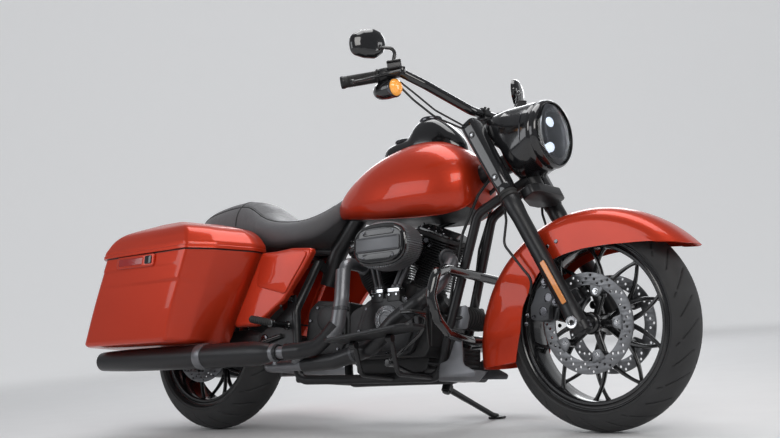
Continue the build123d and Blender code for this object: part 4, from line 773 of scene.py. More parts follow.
def fork_parts():
    legs, covers, screws, strips, pinches, dust = [], [], [], [], [], []
    for side in (-1, 1):
        y = side * FORK_HALF
        slider = [(-34, 21, 21), (-30, 26, 26), (-22, 28.5, 28.5), (30, 29, 29), (46, 27, 29),
                  (60, 25.5, 27), (150, 25.5, 26.5), (230, 25.5, 26), (380, 25.5, 26), (404, 27.5, 27.5),
                  (420, 29, 29), (452, 29, 29), (456, 27, 27)]
        legs.append(skin([fork_ring(d, y, a, b) for d, a, b in slider]))
        for distance in (96, 168):
            base = on_fork(distance, side * 100.5, -38)
            arm = box((0, 0, 0), (34, 18, 13), 2.5, frame_at(on_fork(distance, side * 107, -26), LEFT,
                                                             FORK_FACE))
            legs.append(joined(arm, rod(base, base + Vector((0, side * 13, 0)), 13)))
            pinches.append(acorn(base + Vector((0, side * 13, 0)), (0, side, 0), 7, 8))
        clamp = [(-36, 18, 16), (-34, 22, 20), (-8, 24, 22), (-6, 20, 18)]
        legs.append(skin([fork_ring(d, y, a, b, 12) for d, a, b in clamp]))
        for distance in (-28, -14):
            pinches.append(bolt(on_fork(distance, y, 33), FORK_FACE, 4.5, 5))
        dust.append(skin([fork_ring(d, y, r, r) for d, r in ((455, 27), (457, 30.5), (466, 30.5), (468, 29),
                                                             (470, 31), (478, 31), (481, 28), (494, 28))]))
        # flat-faced cover: squarer at the top, with a step line round its foot
        cover = [(478, 27, 26, 2.4), (479, 30, 28.5, 2.6), (496, 30.5, 29, 2.6), (499, 29, 27.5, 2.8),
                 (503, 29.5, 28, 3.0), (560, 30, 28.6, 3.4), (650, 30, 29.2, 3.8), (740, 30, 29.8, 4.0),
                 (758, 29.6, 29.4, 4.0), (762, 27.5, 27.5, 3.6)]
        covers.append(skin([fork_ring(d, y, half_y, half_x, 4, power, 56)
                            for d, half_y, half_x, power in cover]))
        covers.append(lathe([(13, -1), (13, 5), (9, 9), (0, 9)], frame_at(on_fork(761, y), FORK_DIR), 6))
        out = Vector((0, side, 0))
        for distance in (707, 533):
            seat = on_fork(distance, y + side * 29.4, 4)
            covers.append(lathe([(11.5, -1), (11.5, 1.2), (9.5, 1.8), (8.8, 0.4), (0, 0.4)],
                                frame_at(seat, out), 28))
            screws.append(lathe([(7, 0), (7, 2), (5.6, 4.2), (3.4, 4.8), (3.0, 3), (0, 3)],
                                frame_at(seat, out), 20))
        # reflector strip on the slider's outer side
        across = FORK_DIR.cross(out)
        place = Matrix((FORK_DIR, -across if side < 0 else across, out)).transposed().to_4x4()
        place.translation = on_fork(136, y + side * 24.2, 6)
        strips.append(slab(rectangle(74, 8, 3), place, 5, edge=1.2))
        place.translation = on_fork(136, y + side * 21, 6)
        legs.append(slab(rectangle(78, 10.5, 5), place, 5, edge=1))
    piece("fork_sliders", joined(*legs), SATIN_BLACK, "front_end", "fork_legs", 34)
    piece("fork_seals", joined(*dust), RUBBER, "front_end")
    piece("fork_shrouds", joined(*covers), GLOSS_BLACK, "front_end", "fork_covers", 34)
    piece("fork_shroud_screws", joined(*screws), BRIGHT, "front_end")
    piece("fork_pinch_bolts", joined(*pinches), DARK_CHROME, "front_end")
    piece("fork_reflectors", joined(*strips), AMBER_STRIP, "front_end")


fork_parts()

axle_shape = lathe([(7, 132), (7, 156.5), (9, 158), (17.5, 158), (18.5, 156.5), (18.5, 151), (12.4, 151),
                    (12.4, -151), (18.5, -151), (18.5, -156.5), (17.5, -158), (0, -158), (0, 120),
                    (6.5, 120)], axle_line(FRONT_AXLE), 48)
piece("front_axle_hollow", axle_shape, BRIGHT, "front_end", "front_axle")
spacers = [lathe([(20, 0), (20, 31)], frame_at((FRONT_AXLE.x, side * 66, FRONT_AXLE.z), (0, side, 0)), 28)
           for side in (-1, 1)]
piece("front_axle_spacers", joined(*spacers), SATIN_BLACK, "front_end")


def caliper(centre, side, disc_y, middle, inner, outer):
    """Opposed-piston caliper: two shaped halves bridged outside the disc, pistons, pads and bolts."""
    gap = 6.0
    shapes, bright, pads = [], [], []
    corners = ((116, -19), (148, -22), (181, -20), (188, -9), (188, 9), (181, 20), (148, 22), (116, 19),
               (124, 0))
    outline = rounded_outline([polar(r, middle + t) for r, t in corners], [7, 10, 9, 12, 12, 9, 10, 7, 30],
                              4)
    for y_from, y_to in ((inner, disc_y - gap), (disc_y + gap, outer)):
        high = max(side * y_from, side * y_to)
        shapes.append(slab(outline, wheel_view(centre, high), abs(y_to - y_from), edge=3.2))
    for spread in (-13, 13):
        base = [polar(r, middle + spread + t) for r, t in ((158, -6), (186, -6), (186, 6), (158, 6))]
        high = max(side * (disc_y - gap - 2), side * (disc_y + gap + 2))
        shapes.append(slab(rounded_outline(base, 3), wheel_view(centre, high), 2 * gap + 4, edge=1))
    for spread in (-9.5, 9.5):
        x, z = polar(138, middle + spread)
        face = Vector((centre.x + x, side * outer, centre.z + z))
        bright.append(lathe([(15, -3), (15, 1), (13.6, 1.8), (11, 1.8), (10.4, 0.8), (0, 0.8)],
                            frame_at(face, (0, side, 0)), 32))
    for spread in (-17, 17):
        x, z = polar(168, middle + spread)
        bright.append(bolt((centre.x + x, side * outer, centre.z + z), (0, side, 0), 5.2, 6))
    spreads = np.linspace(-15, 15, 6)
    pad = [polar(148, middle + t) for t in spreads] + [polar(116, middle + t) for t in spreads[::-1]]
    for shift in (-4.4, 4.4):
        pads.append(slab(rounded_outline(pad, 2, 1), wheel_view(centre, side * disc_y + shift + 1.6), 3.2))
    return joined(*shapes), joined(*bright), joined(*pads)


right, left = (caliper(FRONT_AXLE, side, 68, 153, 40, 99.6) for side in (-1, 1))
piece("front_calipers_cast", joined(right[0], left[0]), CAST_GREY, "front_end", "front_calipers")
piece("front_caliper_bolts", joined(right[1], left[1]), DARK_CHROME, "front_end")
piece("front_brake_pads", joined(right[2], left[2]), WRINKLE_BLACK, "front_end")
rear_parts = caliper(REAR_AXLE, -1, 92, 28, 76, 123.4)
piece("rear_caliper_cast", rear_parts[0], CAST_GREY, "chassis", "rear_caliper")
piece("rear_caliper_bolts", rear_parts[1], DARK_CHROME, "chassis")


def arched(centre, radius, half, crown, skin_thick, angles, edge_radius, across):
    """Fender of constant section: crowned top that rolls into flat sides, down to edge_radius(angle)."""
    outer_rows, inner_rows = [], []
    for angle in angles:
        a = radians(angle)
        low = min(edge_radius(angle), radius - 0.5)
        drop = min(1.0, (radius - low) / crown)
        reach = asin((1 - (1 - drop) ** 2) ** (1 / 2.6)) / (0.5 * pi)
        low = min(low, radius - crown - 1.0)
        rows = []
        for shell in (0.0, skin_thick):
            row = []
            for t in np.linspace(-1, 1, across):
                if abs(t) < 0.72 or drop < 1:
                    turn = 0.5 * pi * reach * max(-1.0, min(1.0, t / 0.72))
                    y = (half - shell) * 0.985 * sin(turn)
                    r = radius - shell - crown * (1 - sqrt(max(0.0, 1 - abs(sin(turn)) ** 2.6)))
                else:
                    u = (abs(t) - 0.72) / 0.28
                    y = copysign((half - shell) * (0.985 + 0.015 * min(1.0, 3 * u)), t)
                    r = radius - shell - crown + (low - (radius - shell - crown)) * u
                row.append((centre.x + r * cos(a), y, centre.z + r * sin(a)))
            rows.append(row)
        outer_rows.append(rows[0])
        inner_rows.append(rows[1])
    return outer_rows, inner_rows


def closed_shell(outer, inner):
    """Solid between two grids of points."""
    outer_part, inner_part = sheet_of(outer), sheet_of(inner)
    rows, columns = len(outer), len(outer[0])
    base = rows * columns
    faces = list(outer_part[1]) + [tuple(i + base for i in reversed(face)) for face in inner_part[1]]
    edge = ([(0, c) for c in range(columns)] + [(r, columns - 1) for r in range(1, rows)]
            + [(rows - 1, c) for c in range(columns - 2, -1, -1)]
            + [(r, 0) for r in range(rows - 2, 0, -1)])
    ids = [r * columns + c for r, c in edge]
    for a, b in zip(ids, ids[1:] + ids[:1]):
        faces.append((a, b, b + base, a + base))
    return np.concatenate([outer_part[0], inner_part[0]]), faces


FENDER_CENTRE = FRONT_AXLE + Vector((12, 0, -73))


def front_fender():
    """Valanced fender: its skirt's edge runs from the forward tip over the hub and down behind the tyre."""
    edge = [(463, 262), (440, 264), (300, 279), (163, 291), (60, 294), (-15, 290), (-60, 283), (-95, 274),
            (-137, 254), (-165, 226), (-187, 195), (-207, 165), (-223, 136), (-232, 100), (-238, 64),
            (-250, 20), (-259, -23), (-262, -34)]
    angles = [degrees(atan2(z, x)) % 360 for x, z in edge]
    radii = [hypot(x, z) for x, z in edge]

    def low(angle):
        return smooth(radii, angles, min(max(angle, angles[0]), angles[-1]))

    tip = min(a for a in np.linspace(30, 60, 301) if low(a) < 419.5)
    return closed_shell(*arched(FENDER_CENTRE, 420, FORK_HALF - 29.5, 52, 3.0,
                                np.linspace(tip + 0.3, 187.0, 120), low, 41))


piece("front_fender_valanced", front_fender(), PAINT, "front_end", "front_fender", 40)
screws = [lathe([(6.5, -1), (6.5, 1.4), (5, 3), (0, 3.4)],
                frame_at((x, side * (FORK_HALF - 29.6), z), (0, side, 0)), 20) for side in (-1, 1)
          for x, z in ((1516, 560), (1548, 572), (1424, 330), (1430, 356))]
piece("front_fender_screws", joined(*screws), DARK_CHROME, "front_end")

# brake lines down from the bars to both calipers
for side, name in ((-1, "right"), (1, "left")):
    route = [on_fork(distance, side * y, ahead) for distance, y, ahead in (
        (500, 104, -14), (455, 106, -40), (411, 112, -53), (351, 115, -100), (243, 116, -80),
        (201, 108, -74), (176, 92, -112))]
    piece(f"brake_line_{name}", tube(route, 4.2, 40, 12), HOSE, "front_end")


# ---- headlamp nacelle
LAMP = Vector((1492.0, 0, 932.0))


def nacelle_shell():
    """Shell that narrows and rises from the lamp to the bar, open below behind the lamp."""
    stations = ((1288, 84, 80, 944, 2.9), (1300, 88, 83, 944, 2.8), (1320, 92, 90, 942, 2.7),
                (1340, 95, 98, 938, 2.6), (1359, 98, 108, 932, 2.5), (1366, 98.5, 112, 929, 2.45),
                (1373, 99.5, 116, 925, 2.4), (1380, 100, 120, 922, 2.4), (1392, 102, 124, 918, 2.35),
                (1406, 104, 125, 918, 2.3), (1430, 107, 121, 922, 2.2), (1452, 109.5, 117, 927, 2.1),
                (1466, 111, 114, 930, 2.0), (1484, 112, 112, 932, 2.0))
    rings = []
    for x, half_y, half_z, middle, power in stations:
        edge = 958 - 1.25 * max(0.0, x - 1306) - 3.0 * max(0.0, x - 1359)
        rings.append([(x, a, max(middle + b, edge)) for a, b in oval(half_y, half_z, power, 72)])
    return skin(rings, caps=False)


def lamp_parts():
    x_view = frame_at(LAMP, FORWARD, LEFT)
    bezel = lathe([(108, -14), (111.5, -10), (112.4, -4), (112.0, 3), (110, 10), (106.5, 14.5), (103.5, 16),
                   (101.8, 15), (101, 12), (100, -8), (96, -20), (94, -20), (94, -24), (104, -24)], x_view,
                  96, loop=True)
    seam = lathe([(110.8, -48.4), (112.0, -47.6), (112.0, -46.2), (110.8, -45.4), (109, -45.4),
                  (109, -48.4)], x_view, 96, loop=True)
    bowl = lathe([(98, -6), (94, -20), (70, -58), (0, -60), (0, -62), (72, -60), (100, -18)], x_view, 64)
    lens = lathe([(100.4, 8), (96, 11.5), (76, 15.6), (42, 18.4), (0, 19.4), (0, 16.6), (42, 15.6),
                  (74, 13), (92, 9.4), (98.6, 5)], x_view, 96)
    projectors, shrouds, chrome = [], [], []
    chrome.append(lathe([(88, -14), (93, -9), (94.5, -4), (93.6, -3.4), (91, -7), (86.5, -13)], x_view, 96,
                        loop=True))
    for z, half_z in ((40, 31), (-38, 30)):
        place = Matrix.Translation(LAMP + Vector((-36, 0, z))) @ frame_at((0, 0, 0), FORWARD, LEFT)

        def ringed(steps):
            return [[place @ Vector((a * s, b * s, d)) for a, b in oval(37, half_z)] for s, d in steps]

        dome = ringed(((1.0, 0), (0.98, 8), (0.9, 17), (0.72, 25), (0.45, 31), (0.16, 33.6), (0.03, 34)))
        projectors.append(skin(dome))
        collar = ringed(((1.02, -6), (1.02, 12), (1.06, 14), (1.14, 14), (1.16, 10), (1.16, -6)))
        shrouds.append(skin(collar, caps=False))
    for z in (-3.5, 5.5):
        chrome.append(box(LAMP + Vector((-24, 0, z)), (26, 150, 2.4), 1))
    for y in (-58, 58):
        for z in (-24, -8, 8, 24):
            chrome.append(box(LAMP + Vector((-30, y, z)), (24, 24, 9), 2))
    for angle in (16, 164, 196, 344):
        y, z = polar(78, angle)
        chrome.append(lathe([(12, 0), (12, 8), (8, 12), (0, 13)],
                            frame_at(LAMP + Vector((-38, y, z)), FORWARD), 24))
    return bezel, seam, bowl, lens, joined(*projectors), joined(*shrouds), joined(*chrome)


bezel, seam, bowl, lens, projectors, shrouds, chrome = lamp_parts()
piece("nacelle_shell", nacelle_shell(), GLOSS_BLACK, "front_end", "nacelle", 60, thick=3)
piece("headlamp_bezel", bezel, GLOSS_BLACK, "front_end")
piece("headlamp_seam_ring", seam, DARK_CHROME, "front_end")
piece("headlamp_bowl", bowl, SATIN_BLACK, "front_end")
piece("headlamp_glass", lens, LAMP_CLEAR, "front_end", "headlamp", 50)
piece("headlamp_projectors", projectors, LED_GLOW, "front_end")
piece("headlamp_shrouds", shrouds, GLOSS_BLACK, "front_end")
piece("headlamp_trim", chrome, BRIGHT, "front_end", bevel=0.5)


def steer_point(z, ahead=0.0, y=0.0):
    """Point beside the steering axis at that height."""
    base = steer_pivot + steer_axis * ((z - steer_pivot.z) / steer_axis.z)
    square = Vector((steer_axis.z, 0, -steer_axis.x))
    return base + square * ahead + Vector((0, y, 0))


def clamp_shape(z, half, thick):
    """Triple clamp: a waisted plate round the stem and both legs."""
    outline = rounded_outline([(-24, -34), (24, -34), (half, -8), (half, 34), (half - 30, 48),
                               (-half + 30, 48), (-half, 34), (-half, -8)],
                              [20, 20, 16, 16, 20, 20, 16, 16])
    place = frame_at(steer_point(z), steer_axis, LEFT)
    side = 1 if place.col[1].x > 0 else -1
    outline = [(x, side * y) for x, y in (outline if side > 0 else reversed(outline))]
    return slab(outline, place @ Matrix.Translation((0, 0, -thick / 2)), thick, edge=3)


clamps = [clamp_shape(736, 92, 32), clamp_shape(954, 84, 24)]
stem = rod(steer_point(736), steer_point(966), 16)
nut = lathe([(24, 0), (24, 4), (17, 6), (17, 18), (14, 21), (0, 21)],
            frame_at(steer_point(966), steer_axis), 6)
risers = []
for side in (-1, 1):
    foot = steer_point(954, -22, side * 46)
    top = Vector((1268, side * 46, 1018))
    risers.append(tube([foot, foot + steer_axis * 16, top], (17, 15), 20, 24))
    risers.append(box((1266, side * 46, 1020), (38, 34, 12), 3))
    risers.append(skin([[(x, y, z) for x, z in circle(21, (1264, 1038))]
                        for y in (side * 46 - 15, side * 46 + 15)]))
    risers += bolts([(1264 + x, side * 46 + y, 1056) for x in (-14, 14) for y in (9, -9)], UP, 4.4, 4)
piece("triple_clamps_forged", joined(*clamps, stem, nut, *risers), SATIN_BLACK, "front_end",
      "triple_clamps", 34, bevel=1.0)


# ---- handlebar and its controls
BAR = [Vector((1264, 0, 1038)) + Vector(p) for p in ((0, 0, 0), (0, -110, 0), (-68, -262, 74),
                                                     (-118, -322, 114), (-264, -442, 90))]
bar_path = [Vector((p.x, -p.y, p.z)) for p in reversed(BAR[1:])] + BAR[1:]
bar_shape = tube(bar_path, 15, [34, 50, 60, 60, 50, 34], 28, 10)
piece("handlebar_bent", bar_shape, GLOSS_BLACK, "front_end", "handlebar", 50)
BAR_ALONG = (BAR[4] - BAR[3]).normalized()


def bar_point(inboard, forward=0.0, up=0.0):
    return BAR[4] - BAR_ALONG * inboard + Vector((forward, 0, up))


def bar_view(inboard, forward=0.0, up=0.0):
    """Local z out along the grip, local y up."""
    z = BAR_ALONG
    y = (Vector(UP) - z * z.z).normalized()
    x = y.cross(z)
    matrix = Matrix((x, y, z)).transposed().to_4x4()
    matrix.translation = bar_point(inboard, forward, up)
    return matrix


def grip():
    """Ribbed grip between two collars, with its end cap."""
    profile = [(15.2, 0), (23, 0), (24.5, 1.5), (24.5, 5), (22.5, 7)]
    height = 9.0
    while height < 104:
        profile += [(18.2, height), (19.8, height + 0.8), (19.8, height + 3.4), (18.2, height + 4.2)]
        height += 5.6
    profile += [(19, 106), (19, 112), (16, 112)]
    cap = [(0, 111), (20, 111), (21, 113), (21, 121), (19, 125), (12, 126), (0, 126)]
    place = bar_view(118)
    return lathe(profile + [(15.2, 112)], place, 40, loop=True), lathe(cap, place, 40)


grip_shape, cap_shape = grip()
piece("grips_ribbed", both_sides(grip_shape), RUBBER, "front_end", "grips", 30)
piece("grip_caps", both_sides(cap_shape), SATIN_BLACK, "front_end")


def controls():
    """Switch housing with its fluid reservoir and buttons, and the lever."""
    housing, small, levers = [], [], []
    housing.append(skin([[bar_view(d) @ Vector((a, b - 1, 0)) for a, b in oval(r, r * 0.96, 2.5, 40)] for d,
                         r in (
        (118.5, 20), (119.5, 23.5), (124, 25), (140, 26), (158, 25), (163.5, 23), (164.5, 20))]))
    place = bar_view(150, 27, 22)
    housing.append(skin([[place @ Vector((x * s, y * s, d)) for x, y in rectangle(19, 13, 6, 4, (0, -2))]
                         for d, s in ((-23, 0.86), (-21, 0.98), (21, 1.0), (23, 0.88))]))
    housing.append(skin([[place @ Vector((x * s, h, z * s)) for x, z in rectangle(20, 24, 5, 4)]
                         for h, s in ((11, 0.97), (14.5, 0.99), (16, 0.93))]))
    for x, d in ((-14, -17), (14, 17)):
        small.append(lathe([(3.4, -1), (3.4, 0.8), (2.4, 1.6), (0, 1.6)],
                           frame_at(place @ Vector((x, 16, d)), UP), 14))
    housing.append(box((0, 0, 0), (30, 22, 46), 4, bar_view(144, 28, -2)))
    for height, d in ((-12, 128), (2, 128), (-6, 146)):
        small.append(box((0, 0, 0), (9, 8, 12), 2, bar_view(d, -24, height)))
    pivot = bar_point(144, 68)
    route = [pivot, bar_point(98, 72, -4), bar_point(30, 50, -8), bar_point(-6, 52, -8)]
    levers.append(tube(route, (8.5, 6), [60, 40], 20, 8, 0.62))
    levers.append(lathe([(0, -10), (10, -10), (11, -8), (11, 8), (10, 10), (0, 10)], frame_at(pivot, UP),
                        28))
    levers.append(lathe([(0, -7.6), (6, -6.4), (7.6, -2), (7.6, 2), (6, 6.4), (0, 7.6)],
                        frame_at(bar_point(-6, 52, -8), BAR_ALONG), 20))
    return housing, small, levers


housing, small, levers = controls()
piece("control_housings", both_sides(joined(*housing)), SATIN_BLACK, "front_end", "bar_controls",
      36)
piece("control_buttons", both_sides(joined(*small)), WRINKLE_BLACK, "front_end")
piece("control_levers", both_sides(joined(*levers)), GLOSS_BLACK, "front_end", "bar_controls")


def signal_parts():
    lamp = bar_point(140, 8, -50)
    axis = frame_at(lamp, FORWARD, LEFT)
    shell = lathe([(0, -54), (10, -53), (19, -48), (26, -37), (30, -20), (31.5, 0), (31.5, 24), (30.5, 30),
                   (28, 30), (28, 22), (0, 22)], axis, 40)
    ring = lathe([(31.2, 24), (32.2, 26), (32.2, 31), (30.6, 34), (28.2, 34), (28.2, 24)], axis, 40,
                 loop=True)
    glass = lathe([(28, 24), (27.8, 34), (25.5, 41), (18, 47), (8, 50), (0, 50.6)], axis, 40)
    ribs = [lathe([(r, 0), (r - 1.2, 1.2), (r - 2.4, 0)], Matrix.Translation((d, 0, 0)) @ axis, 40,
                  loop=True) for r, d in ((26, 40.2), (21, 45), (14, 48.4))]
    stalk = tube([lamp + Vector((0, 0, 20)), lamp + Vector((-3, 0, 36)), bar_point(140, 0, -10)], (9, 8),
                 10, 20)
    return joined(shell, stalk), ring, joined(glass, *ribs)


shell, ring, glass = signal_parts()
piece("front_signal_shells", both_sides(shell), GLOSS_BLACK, "front_end", "front_signals",
      40)
piece("front_signal_rings", both_sides(ring), DARK_CHROME, "front_end")
piece("front_signal_lenses", both_sides(glass), LENS_AMBER, "front_end", corner=50)


def mirror_parts():
    face = Vector((1078, -408, 1247))
    turn = radians(22)
    outward, inward = Vector((cos(turn), -sin(turn), 0)), Vector((sin(turn), cos(turn), 0))
    outline = [(-62, -6), (-59, 20), (-24, 41), (19, 51), (46, 42), (60, 22), (64, 0), (55, -26), (28, -48),
               (-10, -50), (-44, -44), (-58, -32)]
    smooth_outline = rounded_outline(outline, 24, 5)

    def ring_at(x, scale):
        return [face + outward * x + inward * (a * scale) + Vector((0, 0, b * scale))
                for a, b in smooth_outline]

    shell = skin([ring_at(x, s) for x, s in ((0, 0.955), (-1.5, 0.99), (2, 1.0), (8, 1.0), (15, 0.95),
                                             (21, 0.84), (26, 0.64), (28.5, 0.36))])
    mirror = skin([ring_at(x, s) for x, s in ((-2.2, 0.945), (-1.0, 0.95))])
    foot = bar_point(158, 8, 22)
    end = face + outward * 20 + inward * 44 + Vector((0, 0, -14))
    bend = Vector((foot.x + 12, foot.y + 4, foot.z + 62))
    stalk = tube([foot, bend, end, end - inward * 16 + outward * -6], (7.2, 5.2), [22, 8], 20, 10)
    knob = lathe([(0, -7), (9, -7), (10.5, -5), (10.5, 3), (8, 7), (0, 7)],
                 frame_at(foot + Vector((0, 0, 5)), UP), 24)
    ball = lathe([(0, -12), (8, -9), (11.5, -3), (11.5, 3), (8, 9), (0, 12)],
                 frame_at(end - inward * 12, outward), 24)
    return joined(shell, stalk, knob, ball), mirror


shell, glass = mirror_parts()
piece("mirror_shells", both_sides(shell), GLOSS_BLACK, "front_end", "mirrors", 40)
piece("mirror_faces", both_sides(glass), MIRROR_GLASS, "front_end")

# cables from both controls along the bar and down behind the nacelle
for side, name in ((-1, "right"), (1, "left")):
    for index, (low, radius) in enumerate(((0, 3.2), (26, 3.6))):
        route = [bar_point(164, -8, -12), bar_point(186, -4, -26 - 0.6 * low),
                 Vector((1168, -290, 1088 - low)), Vector((1204, -226, 1032 - 0.9 * low)),
                 Vector((1244, -150, 992 - 0.5 * low)), Vector((1292, -100 - 6 * index, 948)),
                 Vector((1350, -72 - 6 * index, 902))]
        if side > 0:
            route = [Vector((p.x, -p.y, p.z)) for p in route]
        piece(f"bar_cable_{name}_{index}", tube(route, radius, [30, 90, 110, 90, 40], 12, 9), HOSE,
              "front_end")


# ---- engine
CRANK = Vector((925, 0, 290))
V_HALF = 22.5
FIN_COUNT, FINS_START, FINS_STOP = 13, 212.0, 318.0


def on_cylinder(lean, distance):
    """Frame on a cylinder's line: local z away from the crank, x along the machine, y to the left."""
    a = radians(lean)
    z = Vector((sin(a), 0, cos(a)))
    x = Vector((z.z, 0, -z.x))
    matrix = Matrix((x, Vector(LEFT), z)).transposed().to_4x4()
    matrix.translation = CRANK + z * distance
    return matrix


def cylinder(lean):
    """Finned barrel and head with their rocker box, screws and spark plug."""
    bottom = on_cylinder(lean, 0)
    up = bottom.to_3x3() @ Vector(UP)
    pitch = (FINS_STOP - FINS_START) / FIN_COUNT

    def layers(sections):
        return skin([[on_cylinder(lean, d) @ Vector((x, y, 0)) for x, y in rectangle(hx, hy, r, 8)]
                     for d, hx, hy, r in sections])

    def machined(outline, place, low, high):
        """Bright line round a fin's edge."""
        return skin([[place @ Vector((x * s, y * s, h)) for x, y in outline]
                     for s, h in ((0.994, low), (1.0, low), (1.0, high), (0.994, high))], caps=False,
                    loop=True)

    fins, edges = [], []
    for index in range(FIN_COUNT):
        grow = 66 + 8 * ease(0, 7, index)
        place = on_cylinder(lean, FINS_START + pitch * index)
        fins.append(slab(rectangle(grow, grow, 34, 8), place, 2.6, edge=0.9))
        if index > 1:
            edges.append(machined(rectangle(grow + 0.25, grow + 0.25, 34, 8), place, 0.9, 1.7))
    for index in range(6):
        place = on_cylinder(lean, 320 + 8.6 * index)
        fins.append(slab(rectangle(74, 80 + 1.2 * index, 30, 8), place, 2.8, edge=0.9))
        edges.append(machined(rectangle(74.25, 80.25 + 1.2 * index, 30, 8), place, 1.0, 1.8))
    cores = [lathe([(70, 144), (70, 200), (62, 205), (62, 208), (55, 210), (55, 372)], bottom, 48)]
    for x in (-44, 44):
        for y in (-50, 50):
            base = bottom @ Vector((x, y, 320))
            cores.append(rod(base, base + (bottom.to_3x3() @ Vector((0, 0, 50))), 11, 20))
    # rocker box: base, wedge cap and the ribbed step under it
    box_base = layers(((371, 70, 90, 26), (373, 73, 93, 28), (383, 73, 94, 28), (386, 70, 91, 27)))
    caps = [layers(((386, 66, 87, 24), (388, 69, 90, 26), (394, 69, 90, 26), (397, 66, 86, 26),
                    (408, 54, 68, 24), (413, 49, 62, 22), (414, 45, 58, 20)))]
    screws = []
    groove = rectangle(4, 1.6, 1.2, 2)
    for side in (-1, 1):
        screws += bolts([bottom @ Vector((x, side * 82, 394)) for x in (-48, -16, 16, 48)], up, 5.2, 7)
        turn = Matrix.Rotation(radians(-side * 52), 4, "X")
        for x in (-36, -12, 12, 36):
            caps.append(slab(groove, on_cylinder(lean, 403) @ Matrix.Translation((x, side * 79, 0)) @ turn,
                             14, edge=0.8))
    plug = on_cylinder(lean, 348)
    screws.append(lathe([(11, 0), (11, 8), (9, 9), (9, 22), (10.5, 24), (10.5, 40), (8, 46), (0, 46)],
                        frame_at(plug @ Vector((0, -78, 0)),
                                 plug.to_3x3() @ Vector((0.35 if lean > 0 else -0.35, -1, 0.3))), 24))
    return [joined(*group) for group in (fins, cores, [box_base], caps, screws, edges)]


fins, cores, boxes, caps, screws, edges = (joined(front, rear) for front, rear in zip(cylinder(V_HALF),
                                                                                      cylinder(-V_HALF)))
piece("cylinder_fins", fins, SATIN_BLACK, "chassis", "cylinders", 30)
piece("cylinder_barrels", cores, WRINKLE_BLACK, "chassis", "cylinders")
piece("rocker_boxes", boxes, WRINKLE_BLACK, "chassis", "rocker_covers")
piece("rocker_caps", caps, GLOSS_BLACK, "chassis", "rocker_covers", 34)
piece("engine_top_bolts", screws, DARK_CHROME, "chassis")
piece("fin_edges_machined", edges, CAST_GREY, "chassis")


def pushrods():
    tubes, rings = [], []
    for sign, lean in ((-1, -V_HALF), (1, V_HALF)):
        head = on_cylinder(lean, 371.4).translation
        for shift in (-13, 13):
            foot = Vector((925 + sign * 34 + 0.7 * shift, -127, 466.4))
            top = Vector((head.x - sign * 40 + shift, -98, head.z + sign * 40 * tan(radians(lean)) - 8))
            length = (top - foot).length
            place = frame_at(foot, (top - foot).normalized())
            tubes.append(lathe([(0, 0), (9.5, 0), (10.5, 3), (10.5, 10), (7.4, 13), (7.4, 0.52 * length),
                                (8.6, 0.52 * length + 3), (8.6, length - 16), (10.5, length - 12),
                                (10.5, length - 3), (8, length), (0, length)], place, 28))
            rings.append(lathe([(7.2, 0.5 * length - 3), (9.8, 0.5 * length - 3), (9.8, 0.5 * length + 3),
                                (7.2, 0.5 * length + 3)], place, 28, loop=True))
    return joined(*tubes), joined(*rings)


tubes, rings = pushrods()
piece("pushrod_covers", tubes, BAR_GREY, "chassis", "pushrod_tubes", 34)
piece("pushrod_clips", rings, DARK_CHROME, "chassis")


def crankcase():
    outline = rounded_outline([(748, 236), (748, 400), (830, 432), (1020, 432), (1066, 392), (1080, 262),
                               (1060, 236)], [10, 30, 30, 30, 30, 26, 14], 6)
    body = slab(outline, side_view(106), 214, edge=5)
    ribs = [box((1072, 0, 325), (8, 190, 110), 2), box((1078, 0, 315), (8, 190, 90), 2)]
    ribs += [box((1071, y, 322), (14, 4, 110), 1) for y in np.linspace(-84, 84, 9)]
    pan = slab(rounded_outline([(756, 196), (750, 240), (1058, 240), (1046, 200), (1030, 190), (770, 186)],
                               8, 4), side_view(74), 148, edge=3)
    ribs += [box((905, y, 190), (250, 3, 12), 1) for y in np.linspace(-60, 60, 7)]
    neck = lathe([(30, 0), (30, 10), (26, 14), (26, 30), (0, 30)], frame_at((1064, 0, 404), (0.8, 0, 0.6)),
                 28)
    return joined(body, pan, *ribs, neck)


piece("crankcase_cast", crankcase(), WRINKLE_BLACK, "chassis", "crankcase", 34)


def gearbox():
    outline = rounded_outline([(560, 236), (548, 330), (560, 420), (600, 452), (747.7, 436), (747.7, 236)],
                              [16, 40, 30, 24, 8, 8], 6)
    case = slab(outline, side_view(88), 196, edge=5)
    side_cover = slab(rounded_outline([(572, 262), (566, 330), (576, 404), (606, 434), (712, 428),
                                       (736, 380), (736, 300), (712, 262)],
                                      [20, 40, 26, 20, 20, 20, 20, 20], 5), side_view(-107), 10, edge=3)
    dome = lathe([(0, 0), (50, 0), (50, 6), (46, 9), (46, 20), (42, 26), (34, 29), (0, 30)],
                 frame_at((664, -108, 382), RIGHT), 56)
    neck = slab(rounded_outline([(448, 292), (448, 344), (600, 380), (600, 260)], [20, 20, 4, 4], 4),
                side_view(93), 53, edge=3)
    shaft = lathe([(20, 86), (56, 89), (56, 119), (26, 120), (0, 120)], frame_at((478, 0, 318), LEFT), 66)
    screws = bolts([(664 + 42 * cos(a), -117, 382 + 42 * sin(a)) for a in around(6, 0.3)], RIGHT, 4.2, 6)
    rim = ((580, 280), (580, 380), (612, 424), (700, 418), (724, 330), (706, 276))
    screws += bolts([(x, -117, z) for x, z in rim], RIGHT, 4.6, 6)
    return joined(case, side_cover, dome, neck, shaft), joined(*screws)


case, screws = gearbox()
piece("gearbox_cast", case, WRINKLE_BLACK, "chassis", "gearbox", 34)
piece("gearbox_bolts", screws, DARK_CHROME, "chassis")


